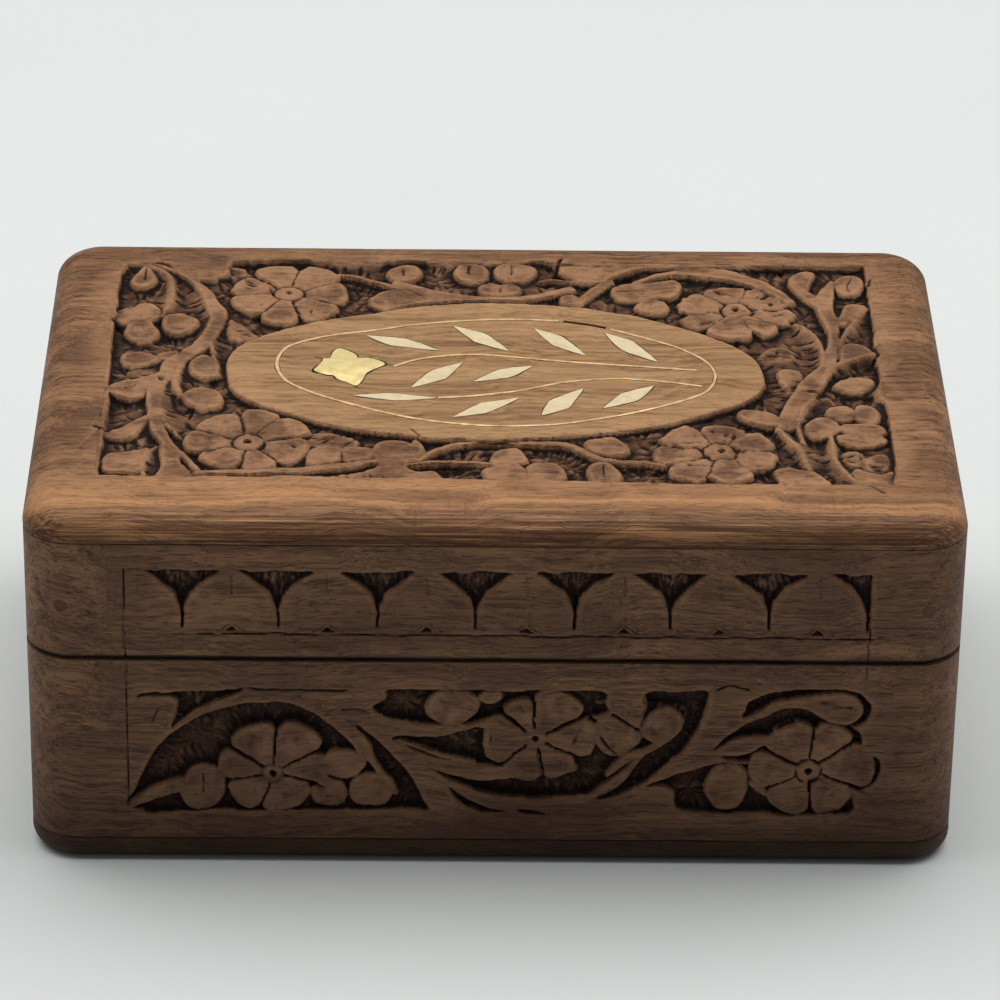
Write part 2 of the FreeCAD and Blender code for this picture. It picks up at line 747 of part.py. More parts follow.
def oval_line(grow):
    """The face between two tilted ellipses."""
    tilt = math.radians(-cell("oval_line_tilt"))
    centre = Vector(0, 1.1)
    faces = []
    for side in (1, -1):
        off = side * (cell("line_width") / 2 + grow)
        long_end = Vector(math.cos(tilt), math.sin(tilt)) * (cell("oval_line_length") / 2 + off)
        short_end = Vector(-math.sin(tilt), math.cos(tilt)) * (cell("oval_line_depth") / 2 + off)
        ellipse = Part.Ellipse(centre + long_end, centre + short_end, centre)
        faces.append(Part.Face(Part.Wire(ellipse.toShape())))
    return faces[0].cut(faces[1])


def ribbon(points, grow):
    """A strip of the line's width along a smooth curve through the points, with square ends."""
    half = cell("line_width") / 2 + grow
    middle = Part.BSplineCurve()
    middle.interpolate([Vector(x, y) for x, y in points])
    first, last = middle.FirstParameter, middle.LastParameter
    sides = []
    for sign in (1, -1):
        shifted = []
        for k in range(2 * len(points) + 1):
            at = first + (last - first) * k / (2 * len(points))
            along = Vector(middle.tangent(at)[0])
            end = {0: -grow, 2 * len(points): grow}.get(k, 0.0)
            shifted.append(middle.value(at) + Vector(-along.y, along.x) * (sign * half) + along * end)
        side = Part.BSplineCurve()
        side.interpolate(shifted)
        sides.append(side)
    ends = [
        Part.LineSegment(sides[0].EndPoint, sides[1].EndPoint).toShape(),
        Part.LineSegment(sides[1].StartPoint, sides[0].StartPoint).toShape(),
    ]
    edges = Part.__sortEdges__([sides[0].toShape(), sides[1].toShape(), *ends])
    return Part.Face(Part.Wire(edges))


def slip(name, face):
    """An inlay piece cut from one face, its top flush with the board."""
    feature = doc.addObject("Part::Feature", name)
    feature.Label = name
    feature.Shape = face.extrude(Vector(0, 0, cell("inlay_depth")))
    feature.Placement = Placement(Vector(0, 0, value_of(TOP_FACE) - cell("inlay_depth")), Rotation())
    return feature


def inlay_recesses():
    """One tool that sinks every inlay piece with its glue line into the top board."""
    grow = cell("glue_line")
    faces = [leaf_recess(*leaf) for leaf in LEAVES]
    faces += [quatrefoil(grow), oval_line(grow)]
    faces += [ribbon(points, grow) for points in STEMS.values()]
    tool = doc.addObject("Part::Feature", "inlay_recesses")
    solids = [face.extrude(Vector(0, 0, cell("inlay_depth") + 1)) for face in faces]
    tool.Shape = solids[0].multiFuse(solids[1:])
    tool.Placement = Placement(Vector(0, 0, value_of(TOP_FACE) - cell("inlay_depth")), Rotation())
    return tool


# ---------------------------------------------------------------- linings


def lining_set(prefix, pad_z, strip_z, strip_height):
    """A pad and four strips of velvet on card, each just clear of its neighbours."""
    play = "lining_play"
    strip = "lining_thickness"
    across = f"({INNER_LENGTH} / 2 - {play})"
    deep = f"({INNER_DEPTH} / 2 - {play})"
    parts = [
        box(f"{prefix}_pad", f"-{across}", f"-{deep}", pad_z, f"2 * {across}", f"2 * {deep}", "pad_thickness")
    ]
    for side, y in (("front", f"-{deep}"), ("back", f"{deep} - {strip}")):
        name = f"{prefix}_{side}_lining"
        parts.append(box(name, f"-{across}", y, strip_z, f"2 * {across}", strip, strip_height))
    inner = f"({deep} - {strip} - {play})"
    for side, x in (("left", f"-{across}"), ("right", f"{across} - {strip}")):
        name = f"{prefix}_{side}_lining"
        parts.append(box(name, x, f"-{inner}", strip_z, strip, f"2 * {inner}", strip_height))
    for part in parts:
        part.Label = part.Name
    return parts


# ---------------------------------------------------------------- assembly


def build():
    walls = frame_walls()
    floor = bottom_board()
    top = top_board()
    parts = []

    pins, pin_holes = floor_pins()
    pin_tool = fuse("floor_pin_holes", pin_holes)
    nails = {
        f"{side}_{end}": corner_nail(f"{side}_{end}", x_sign, y_sign)
        for side, y_sign in (("front", "-"), ("back", ""))
        for end, x_sign in (("left", "-"), ("right", ""))
    }
    nail_tool = fuse("corner_nail_holes", [hole for _, _, holes in nails.values() for hole in holes])
    recesses = fuse(
        "hinge_recesses", [stop_groove(), *hinge_recess("left"), *hinge_recess("right")]
    )

    parts.append(cut("base_floor", floor, pin_tool))
    parts.append(cut("base_front_wall", walls["base_front_wall"], pin_tool))
    parts.append(cut("base_back_wall", cut("base_back_wall_pinned", walls["base_back_wall"], pin_tool), recesses))
    for side in ("left", "right"):
        wall = walls[f"base_{side}_wall"]
        wall.Label = f"base_{side}_wall"
        parts.append(wall)

    parts.append(cut("lid_front_wall", walls["lid_front_wall"], nail_tool))
    parts.append(cut("lid_back_wall", cut("lid_back_wall_nailed", walls["lid_back_wall"], nail_tool), recesses))
    for side in ("left", "right"):
        blank = walls[f"lid_{side}_wall"]
        parts.append(cut(f"lid_{side}_wall", blank, nail_tool))
    parts.append(cut("lid_top_board", top, inlay_recesses()))

    for k, leaf in enumerate(LEAVES, start=1):
        parts.append(leaf_body(f"inlay_leaf_{k:02d}", *leaf))
    parts.append(slip("inlay_quatrefoil", quatrefoil(0.0)))
    parts.append(slip("inlay_oval_line", oval_line(0.0)))
    for name, points in STEMS.items():
        parts.append(slip(name, ribbon(points, 0.0)))

    for side in HINGES:
        parts.append(hinge_leaf(f"hinge_{side}_base_leaf", side, False))
        parts.append(hinge_leaf(f"hinge_{side}_lid_leaf", side, True))
        parts.append(hinge_pin(f"hinge_{side}_pin", side))
        parts.append(hinge_screws(f"hinge_{side}_base_screws", side, False))
        parts.append(hinge_screws(f"hinge_{side}_lid_screws", side, True))

    parts.append(group("lid_corner_nails", [nail for nail, _, _ in nails.values()]))
    fillers = []
    for name, (_, filler, _) in nails.items():
        wall = walls["lid_front_wall" if name.startswith("front") else "lid_back_wall"]
        fillers.append(common(f"{name}_filler_dressed", filler, wall))
    parts.append(group("lid_nail_fillers", fillers))
    parts.append(group("base_floor_pins", pins))

    strip = "lining_reveal"
    base_strip_z = "(floor_thickness + pad_thickness + lining_play)"
    parts += lining_set("base", "floor_thickness", base_strip_z, f"{BASE_RIM} - {strip} - {base_strip_z}")
    lid_strip_z = f"({LID_RIM} + {strip})"
    lid_pad_z = f"({TOP_SEAM} - pad_thickness)"
    parts += lining_set("lid", lid_pad_z, lid_strip_z, f"{lid_pad_z} - lining_play - {lid_strip_z}")
    return parts


def check(parts):
    """Stops if anything in the document failed, or a sub-part isn't a sound solid."""
    for obj in doc.Objects:
        if {"Invalid", "Error"} & set(obj.State):
            raise RuntimeError(f"{obj.Label} failed: {obj.State}")
    labels = [part.Label for part in parts]
    if len(labels) != len(set(labels)):
        raise RuntimeError("two sub-parts share a label")
    for part in parts:
        shape = part.Shape
        if shape.isNull() or not shape.isValid() or not shape.Solids or shape.Volume <= 0:
            raise RuntimeError(f"{part.Label} is not a sound solid")


def export(parts):
    os.makedirs("parts", exist_ok=True)
    for old in os.listdir("parts"):
        os.remove(os.path.join("parts", old))
    for part in parts:
        solids = part.Shape.Solids
        shape = solids[0] if len(solids) == 1 else Part.makeCompound(solids)
        shape.exportStep(f"parts/{part.Label}.step")
        print(f"{part.Label}: {len(solids)} solid, {part.Shape.Volume:.1f} mm3")


parts = build()
doc.recompute()
check(parts)
export(parts)
print(f"{len(parts)} sub-parts")
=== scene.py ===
"""Looks for the carved jewelry box: hand-carved relief, inlay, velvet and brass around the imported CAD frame.

Lengths are millimetres until make_mesh turns them into metres. A wall is built facing the front, with u along it
and v its height, and is then turned to its own side. Every length that varies by chance comes from a fixed seed.
"""
import json
import math

import bmesh
import bpy
import numpy as np
from mathutils import Matrix, Vector


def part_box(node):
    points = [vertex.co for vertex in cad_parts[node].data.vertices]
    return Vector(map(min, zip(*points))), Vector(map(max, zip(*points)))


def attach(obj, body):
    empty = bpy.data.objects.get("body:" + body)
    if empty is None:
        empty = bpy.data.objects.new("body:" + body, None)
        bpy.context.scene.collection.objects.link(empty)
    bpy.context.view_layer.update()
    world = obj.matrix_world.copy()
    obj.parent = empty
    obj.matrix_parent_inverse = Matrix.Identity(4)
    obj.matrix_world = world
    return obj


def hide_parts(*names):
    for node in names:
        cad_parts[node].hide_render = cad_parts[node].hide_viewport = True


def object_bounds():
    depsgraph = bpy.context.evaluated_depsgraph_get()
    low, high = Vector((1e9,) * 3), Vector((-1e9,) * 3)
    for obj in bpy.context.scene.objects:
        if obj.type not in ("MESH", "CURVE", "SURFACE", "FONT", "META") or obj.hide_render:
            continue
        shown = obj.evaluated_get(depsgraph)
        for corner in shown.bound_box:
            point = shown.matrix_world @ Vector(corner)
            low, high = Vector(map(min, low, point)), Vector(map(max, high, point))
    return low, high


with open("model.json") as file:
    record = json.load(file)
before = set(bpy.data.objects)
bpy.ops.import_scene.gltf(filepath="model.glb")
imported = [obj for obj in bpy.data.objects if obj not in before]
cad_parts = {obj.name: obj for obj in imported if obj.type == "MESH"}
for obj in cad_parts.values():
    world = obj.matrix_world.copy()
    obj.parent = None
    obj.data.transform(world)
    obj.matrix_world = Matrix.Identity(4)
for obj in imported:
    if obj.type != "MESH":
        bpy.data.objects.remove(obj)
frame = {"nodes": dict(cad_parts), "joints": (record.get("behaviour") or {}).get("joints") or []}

CAD_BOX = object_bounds()
MM = 0.001

# ---------------------------------------------------------------- sizes, in millimetres, read from the frame


def span(node):
    """A CAD node's lowest and highest corners in millimetres."""
    low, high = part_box(node)
    return np.array(low) / MM, np.array(high) / MM


HALF_X, HALF_Y, TOP_FACE = np.array(CAD_BOX[1]) / MM
FLOOR_TOP = span("base_floor")[1][2]
BASE_RIM = span("base_front_wall")[1][2]
LID_RIM = span("lid_front_wall")[0][2]
TOP_SEAM = span("lid_top_board")[0][2]
WALL = span("base_front_wall")[1][1] - span("base_front_wall")[0][1]
INNER_X, INNER_Y = HALF_X - WALL, HALF_Y - WALL
CORNER = 8.0  # radius of the four upright corners
LONG_FIELD = 67.75  # half the length of the carving on a long wall
GROUND = 1.9  # the carving's greatest usual depth
CELL = 0.25  # spacing of the carving's grid
SHY, WALL_SHY = 0.02, 0.04  # how far the top face and the walls' faces stay inside their CAD faces
AXIS = np.array(frame["joints"][0]["pos_m"]) / MM
HINGE_SPANS = [[corner[0] for corner in span(f"hinge_{side}_base_leaf")] for side in ("left", "right")]
STOP_ANGLE = math.radians(frame["joints"][0]["range_deg"][1] / 2)

# ---------------------------------------------------------------- numbers on grids


def ease(low, high, x):
    """0 below low, 1 above high, and smooth between."""
    t = np.clip((x - low) / (high - low), 0.0, 1.0)
    return t * t * (3 - 2 * t)


def noise(x, y, size, seed):
    """Smooth bumps from -1 to 1, about size across."""
    u, v = np.asarray(x) / size + 517.3, np.asarray(y) / size + 281.7
    i, j = np.floor(u).astype(np.int64), np.floor(v).astype(np.int64)
    fu, fv = u - i, v - j
    fu, fv = fu * fu * (3 - 2 * fu), fv * fv * (3 - 2 * fv)

    def corner(a, b):
        """A grid corner's own value, mixed from its place and the seed."""
        n = (a * 73856093) ^ (b * 19349663) ^ (seed * 83492791)
        n = ((n ^ (n >> 13)) * 1274126177) & 0x7FFFFFFF
        n = ((n ^ (n >> 15)) * 668265263) & 0x7FFFFFFF
        return (n & 0xFFFFF) / 0x7FFFF - 1.0

    low = corner(i, j) * (1 - fu) + corner(i + 1, j) * fu
    high = corner(i, j + 1) * (1 - fu) + corner(i + 1, j + 1) * fu
    return low * (1 - fv) + high * fv


def blur(a, cells):
    """Three box blurs, each cells wide either way."""
    for _ in range(3):
        for axis in (0, 1):
            pad = [(0, 0), (0, 0)]
            pad[axis] = (cells + 1, cells)
            total = np.cumsum(np.pad(a, pad, mode="edge"), axis=axis)
            n = a.shape[axis]
            ahead = np.take(total, range(2 * cells + 1, 2 * cells + 1 + n), axis=axis)
            behind = np.take(total, range(0, n), axis=axis)
            a = (ahead - behind) / (2 * cells + 1)
    return a


def pairs(text):
    """Points written as "x,y x,y ..."."""
    return [tuple(map(float, p.split(","))) for p in text.split()]


def table(text):
    """Rows of numbers and points, "n n : x,y x,y ...", where a row goes on over indented lines."""
    for row in text.strip().replace("\n    ", " ").splitlines():
        numbers, points = row.split(" : ")
        yield [float(n) for n in numbers.split()], pairs(points)


def smooth_line(points, per, closed=False):
    """A Catmull-Rom curve through the points, with per steps between each two."""
    p = np.array(points, float)
    p = np.vstack([p[-1], p, p[:2]]) if closed else np.vstack([2 * p[0] - p[1], p, 2 * p[-1] - p[-2]])
    t = np.linspace(0, 1, per, endpoint=False)[:, None]
    out = [
        0.5 * (2 * b + (c - a) * t + (2 * a - 5 * b + 4 * c - d) * t**2 + (3 * b - a - 3 * c + d) * t**3)
        for a, b, c, d in zip(p, p[1:], p[2:], p[3:])
    ]
    return np.vstack(out if closed else out + [p[-2][None]])


def to_line(u, v, line):
    """Distance to a polyline, the share of its length there, and which side (+1 is its left)."""
    best, share, side = np.full(u.shape, 1e9), np.zeros(u.shape), np.ones(u.shape)
    steps = np.hypot(*np.diff(line, axis=0).T)
    before, total = 0.0, steps.sum()
    for (ax, ay), (bx, by), step in zip(line[:-1], line[1:], steps):
        if step < 1e-9:
            continue
        ex, ey = (bx - ax) / step, (by - ay) / step
        t = np.clip((u - ax) * ex + (v - ay) * ey, 0, step)
        dx, dy = u - ax - t * ex, v - ay - t * ey
        d = np.hypot(dx, dy)
        closer = d < best
        best = np.where(closer, d, best)
        share = np.where(closer, (before + t) / total, share)
        side = np.where(closer, np.where(ex * dy - ey * dx > 0, 1.0, -1.0), side)
        before += step
    return best, share, side


def to_shape(u, v, shape):
    """Distance to a closed outline, negative inside."""
    best, inside = np.full(u.shape, 1e9), np.zeros(u.shape, bool)
    for (ax, ay), (bx, by) in zip(shape, np.roll(shape, -1, axis=0)):
        ex, ey = bx - ax, by - ay
        t = np.clip(((u - ax) * ex + (v - ay) * ey) / max(ex * ex + ey * ey, 1e-9), 0, 1)
        best = np.minimum(best, (u - ax - t * ex) ** 2 + (v - ay - t * ey) ** 2)
        if ay != by:
            inside ^= ((ay > v) != (by > v)) & (u < ax + (v - ay) * ex / ey)
    return np.where(inside, -1.0, 1.0) * np.sqrt(best)


def turned_by(a, u, v):
    """How far u, v reach along the direction a, and across it."""
    return u * math.cos(a) + v * math.sin(a), -u * math.sin(a) + v * math.cos(a)


class Relief:
    """A carved face: how deep each point lies below the wood's surface, on a grid, in millimetres."""

    def __init__(self, half, y0, y1, seed, ground, flip=1, shift=0.0):
        nx, ny = round(2 * half / CELL) + 1, round((y1 - y0) / CELL) + 1
        self.xs, self.ys = np.linspace(-half, half, nx), np.linspace(y0, y1, ny)
        self.seed, self.flip, self.shift = seed, flip, shift
        self.X, self.Y = np.meshgrid(self.xs, self.ys, indexing="ij")
        # U, V are X, Y as a hand that wanders a little would see them.
        self.U = self.X + 0.16 * self.noise(4.3, 0) + 0.10 * self.noise(1.3, 1)
        self.V = self.Y + 0.16 * self.noise(4.3, 2) + 0.10 * self.noise(1.3, 3)
        self.ground = ground * (0.88 + 0.14 * self.noise(7.0, 4))
        self.ground += 0.12 * self.noise(2.1, 5)
        self.depth = np.zeros((nx, ny))
        self.plain = np.zeros((nx, ny))
        self.rng = np.random.default_rng(seed)

    def noise(self, size, offset, win=np.s_[:, :]):
        """Noise over the panel or a window of it, from the panel's seed plus offset."""
        return noise(self.X[win], self.Y[win], size, self.seed + offset)

    def each(self, work, text):
        """Does one kind of work for every row of a table."""
        for numbers, points in table(text):
            work(points, *numbers)

    def path(self, points, closed=False, smooth=True):
        """Points moved and mirrored to this panel and made into a curve."""
        p = (np.array(points, float) + (self.shift, 0)) * (self.flip, 1)
        return smooth_line(p, 5 if closed else 8, closed) if smooth and len(p) > 2 else p

    def near(self, points, reach):
        """The window of the grid that lies within reach of the points."""
        p = np.atleast_2d(np.array(points, float))
        (xa, ya), (xb, yb) = p.min(0) - reach, p.max(0) + reach
        i0, i1 = np.searchsorted(self.xs, [xa, xb])
        j0, j1 = np.searchsorted(self.ys, [ya, yb])
        return np.s_[i0:i1, j0:j1]

    def sink(self, points, share, lean_x=0.0, lean_y=0.0, wall=0.35, slope=0.0, smooth=True):
        """Cuts an outline down to the ground; the bottom leans, and its walls may slope here and there."""
        shape = self.path(points, True, smooth)
        win = self.near(shape, 1)
        u, v = self.U[win], self.V[win]
        d = -to_shape(u, v, shape)
        cx, cy = shape.mean(0)
        bottom = self.ground[win] * share + self.flip * lean_x * (u - cx) + lean_y * (v - cy)
        wide = wall + slope * noise(u, v, 6.5, self.seed + 8).clip(0, 1)
        self.depth[win] = np.maximum(self.depth[win], bottom.clip(0.15, None) * ease(-0.06, wide, d))

    def stand(self, win, d, top, soft, wall=0.35, round_over=0.4):
        """Leaves wood standing where d is negative, its top at top and its upper edge eased."""
        top = top + soft * (1 - ease(0, round_over, -d)) ** 2
        wall = wall * (1 + 1.5 * self.noise(3.4, 9, win).clip(0, 1))
        deep = np.maximum(self.depth[win], top)
        new = np.where(d > wall, 1e9, top + (deep - top) * ease(0, wall, d))
        self.depth[win] = np.minimum(self.depth[win], np.maximum(new, 0))

    def plate(self, points, level, lean_x, lean_y, dish):
        """A flat lobe left standing inside an outline; its face leans, and may be dished."""
        shape = self.path(points, True)
        win = self.near(shape, 1.5)
        u, v = self.U[win], self.V[win]
        d = to_shape(u, v, shape)
        cx, cy = shape.mean(0)
        own = self.rng.uniform(-0.05, 0.05, 2)
        top = level + self.flip * (lean_x + own[0]) * (u - cx) + (lean_y + own[1]) * (v - cy)
        top = top + dish * ease(0.2, 1.6, -d) + 0.06 * self.noise(1.7, 12, win)
        self.stand(win, d, np.maximum(top, 0.02), soft=0.24, round_over=0.5)

    def cut(self, points, width, depth):
        """A V cut along a line, fading at its ends."""
        line = self.path(points)
        win = self.near(line, width + 1)
        d, share, _ = to_line(self.U[win], self.V[win], line)
        ends = np.minimum(1, np.minimum(share, 1 - share) * 10 + 0.2)
        self.depth[win] += depth * ends * np.clip(1 - d / (width * (0.4 + 0.6 * ends)), 0, 1)

    def stem(self, points, level, lean, wall, *widths):
        """A stem whose width follows the list, its top flat or leaning."""
        line = self.path(points)
        win = self.near(line, max(widths) + 1)
        d, share, side = to_line(self.U[win], self.V[win], line)
        half = np.interp(share, np.linspace(0, 1, len(widths)), widths) / 2
        across = (d / half).clip(0, 1.5) * side * self.flip
        top = level + lean * (across + 1) / 2
        top = top + 0.04 * self.noise(1.9, 13, win)
        self.stand(win, d - half, top, soft=0.06, wall=wall, round_over=0.25)

    def ridge(self, points, level, left, right, half):
        """A crisp crest with a hollow slope down either side, as wide as left and right."""
        line = self.path(points)
        win = self.near(line, max(left, right) + 1)
        d, share, side = to_line(self.U[win], self.V[win], line)
        reach = np.where(side * self.flip > 0, left, right)
        reach = reach * (0.35 + 0.65 * np.sin(math.pi * share.clip(0.02, 0.98)) ** 0.5)
        t = ((d - half) / reach).clip(0, 1)
        crest = level + 0.25 * (1 - np.minimum(share, 1 - share) * 8).clip(0, 1)
        deep = np.maximum(self.depth[win], crest)
        new = np.where(t >= 1, 1e9, crest + (deep - crest) * np.sin(math.pi / 2 * t) ** 0.75)
        self.depth[win] = np.minimum(self.depth[win], new)

    def flower(self, petals, x, y, boss, level, dish, part, eye, ring, ragged, low):
        """Petals (from, to, radius) in degrees round a button with a drilled eye; part is how deep they part."""
        x, y = self.path([(x, y)])[0]
        win = self.near((x, y), max(r for *_, r in petals) * 1.2)
        u, v = self.U[win] - x, self.V[win] - y
        if ragged:
            u = u + ragged * self.noise(1.5, 31, win)
            v = v + ragged * self.noise(1.5, 32, win)
        u = u * self.flip
        reach, angle = np.hypot(u, v), np.degrees(np.arctan2(v, u))
        for start, end, r in petals:
            middle, half = (start + end) / 2, (end - start) / 2
            t = ((angle - middle + 180) % 360 - 180) / half
            edge = r * (1 - 0.07 * np.abs(t) ** 2.5 - 0.11 * ease(0.68, 1.0, np.abs(t)))
            top = level + self.rng.uniform(-0.10, low) + self.rng.uniform(-0.14, 0.14) * t
            top = top + dish * (1 - t * t) * ease(0.35 * r, 0.7 * r, reach) * (1 - ease(0.75 * r, r, reach))
            top = top + 0.30 * (1 - ease(boss, 2.0 * boss, reach))
            top = top + 0.05 * self.noise(1.4, 14, win)
            self.stand(win, np.where(np.abs(t) <= 1.0, reach - edge, 9.0), top, soft=0.26, round_over=0.6)
            a = math.radians(start)
            along, across = turned_by(a, u, v)
            length = ease(1.1 * boss, 1.5 * boss, along) * (1 - ease(0.80 * r, 0.98 * r, along))
            self.depth[win] += part * length * np.clip(1 - np.abs(across) / (0.30 + 0.035 * along), 0, 1)
        self.stand(win, reach - boss, 0.3 + 0.22 * (reach / boss) ** 2 - 0.06 * v / boss, soft=0.12)
        self.depth[win] += ring * np.clip(1 - np.abs(reach - boss * 1.12) / 0.34, 0, 1)
        self.depth[win] += 1.1 * (1 - ease(eye * 0.7, eye * 1.15, reach))

    def gouges(self, count, length, width, bite, from_share=0.5, angle=None):
        """Short tool marks in the low wood, running up to whatever stands beside them, or at one angle."""
        gx, gy = np.gradient(blur(self.depth, round(1.5 / CELL)))
        low = np.argwhere(self.depth > from_share * self.ground)
        if not len(low):
            return
        marks = np.zeros_like(self.depth)
        for i, j in low[self.rng.integers(0, len(low), count)]:
            x, y = self.xs[i], self.ys[j]
            a = (math.atan2(gy[i, j], gx[i, j]) if angle is None else angle) + self.rng.normal(0, 0.22)
            long, wide = length * self.rng.uniform(0.6, 1.3), width * self.rng.uniform(0.7, 1.3)
            win = self.near((x, y), long)
            along, across = turned_by(a, self.X[win] - x, self.Y[win] - y)
            scoop = bite * self.rng.uniform(0.55, 1.0) * (1 - (across / wide) ** 2 - (along / long) ** 2)
            marks[win] = np.maximum(marks[win], scoop)
        self.depth += marks * ease(from_share * 0.8, from_share * 1.2, self.depth / self.ground)

    def finish(self):
        """Bounds the depth, roughens cut wood a little, and works out where hollows and worn edges are: hollows get
        painted shade, and worn edges get lighter, partly as wear and partly as a painted highlight.
        """
        cutting = ease(0.05, 0.4, self.depth)
        for size, amount in ((2.7, 0.11), (1.1, 0.08), (0.55, 0.05)):
            self.depth += cutting * amount * self.noise(size, 21)
        self.depth = np.clip(self.depth, 0.0, GROUND * 1.25)
        fine, broad = (blur(self.depth, round(reach / CELL)) for reach in (0.5, 1.5))
        gx, gy = np.gradient(self.depth, CELL)
        steep = ease(0.8, 2.6, np.hypot(gx, gy)) * ease(0.3, 1.2, self.depth)
        # hollow and shade are masks for painted shade, fine and broad; where hollow is negative, raised edges are
        # painted lighter.
        self.hollow = np.clip((self.depth - fine) / 0.30 + 0.45 * steep, -1, 1)
        self.shade = np.clip((self.depth - broad) / 0.8, -1, 1)
        return self

    def read(self, grid, x, y):
        """A grid's value at any points inside the panel, and 0 outside it."""
        u, v = (x - self.xs[0]) / CELL, (y - self.ys[0]) / CELL
        inside = (u >= 0) & (v >= 0) & (u <= len(self.xs) - 1) & (v <= len(self.ys) - 1)
        i = np.clip(np.floor(u).astype(int), 0, len(self.xs) - 2)
        j = np.clip(np.floor(v).astype(int), 0, len(self.ys) - 2)
        fu, fv = np.clip(u - i, 0, 1), np.clip(v - j, 0, 1)
        low = grid[i, j] * (1 - fu) + grid[i + 1, j] * fu
        high = grid[i, j + 1] * (1 - fu) + grid[i + 1, j + 1] * fu
        return np.where(inside, low * (1 - fv) + high * fv, 0.0)


# ---------------------------------------------------------------- carved faces

# Points are x, y seen from above on the top board, and along, up on the walls.
TOP_FIELD = pairs(
    "-64.6,41.7 -45,42.2 -35,42.8 9,42.8 11,42.3 26,42.3 45,42.1 64.9,42.1 65,20 64.8,0 65.2,-20 64.9,-37.5 "
    "30,-37.4 12,-36.9 -2,-36.6 -17,-36.1 -64.5,-36 -64.3,-10 -64.8,10"
)
OVAL = pairs(
    "-44.9,3.5 -44.3,7.2 -42.6,10.4 -38.8,14.2 -35.5,16.3 -32.2,18.2 -28.8,19.8 -24.3,21.3 -20,22.7 -14.8,24.6 "
    "-8.5,26 -4.3,26.5 0.7,26.7 4.8,26.6 11.5,25.9 15.7,25.0 21.9,23.1 26,21.3 30,19.1 34.5,16.4 38,13.6 "
    "41.3,10.6 43.8,6.8 45,2.5 45.1,-1.2 44.4,-5 42.5,-7.6 40,-10 35.8,-12.6 32.5,-14.5 28.3,-16.5 24.2,-18.2 "
    "19.8,-19.5 14,-20.6 10.7,-21.3 4.8,-22 0.7,-22.6 -5.2,-22.3 -11.8,-21.9 -15.6,-20.9 -20.6,-19.8 -24,-18.6 "
    "-28.8,-16.7 -32.2,-15 -36.3,-12.6 -39.6,-10.3 -42.6,-7.3 -44,-4.2 -44.6,-0.5"
)
# Deeper cuts between the motifs: share of the ground's depth, lean across and up, width of the wall : outline.
TOP_HOLLOWS = """
1.22 0 0 0.7 : -27.5,36.8 -24,35.5 -20,33.5 -16.8,32 -20,31 -22.5,30.3 -25.5,28 -28,31.5
1.22 0 0 0.7 : -11.4,-29.8 -9.3,-27 -6.4,-25.5 -2.7,-24.9 0.7,-25.3 -0.6,-27.4 -1.2,-30
1.22 0 0 0.7 : -9.7,-31 -4,-31 0.8,-31.3 -2,-33 -5,-34.9 -8.5,-35.2 -9,-33
1.22 0 0 0.7 : -24,-19.4 -18,-20.6 -12,-22.3 -7,-22.4 -3,-22.9 -6.5,-24.2 -9.5,-26 -13,-23.4 -20,-23 -24,-21.4
1.22 0 0 0.7 : 5,-25 9.5,-25.4 12.5,-27.3 15.3,-30.3 14.5,-33.2 12,-31 9,-28.5 6,-27.5
1.22 0 0 0.7 : 19.5,-30.6 23,-30.4 26.5,-31 26.8,-32.8 23,-33.4 20.5,-32.9
1.22 0 0 0.7 : 20.2,-20 26,-18.9 30,-17 36,-13.5 36,-16.5 30,-18.3 27.8,-21.5 25,-24 22.3,-24 21.5,-22
1.22 0 0 0.7 : 39.5,-14.5 42.5,-16 45,-18 47,-21.5 49,-25.5 50.5,-31.5 46,-28 45.5,-24 43,-20 40.5,-18
1.22 0 0 0.7 : 20.5,36.8 22.5,39.2 26,40.3 30,40.4 36,39.9 32,39.5 28,38.4 25,36.8 22.8,35.6
1.22 0 0 0.7 : 32,37.8 37,37.6 42,36.2 45.5,34.6 44.5,33 41,35.6 38.2,34.2 37.5,32 33,32.2 33.2,35
1.22 0 0 0.7 : 54.6,-5.8 52,-9.5 50.7,-13.5 50,-17.5 51.5,-16 54,-12 57,-9.5 56.5,-6.6
1.22 0 0 0.7 : 64.8,9.3 62.5,6.5 59,4 56.5,1.5 55.3,-1.5 57,-1 59,1.2 61,3 63.5,3.5 64.7,6
1.22 0 0 0.7 : 56,-4.8 63.4,-4.6 62.8,-8.6 59.6,-9.4 56.6,-8
"""
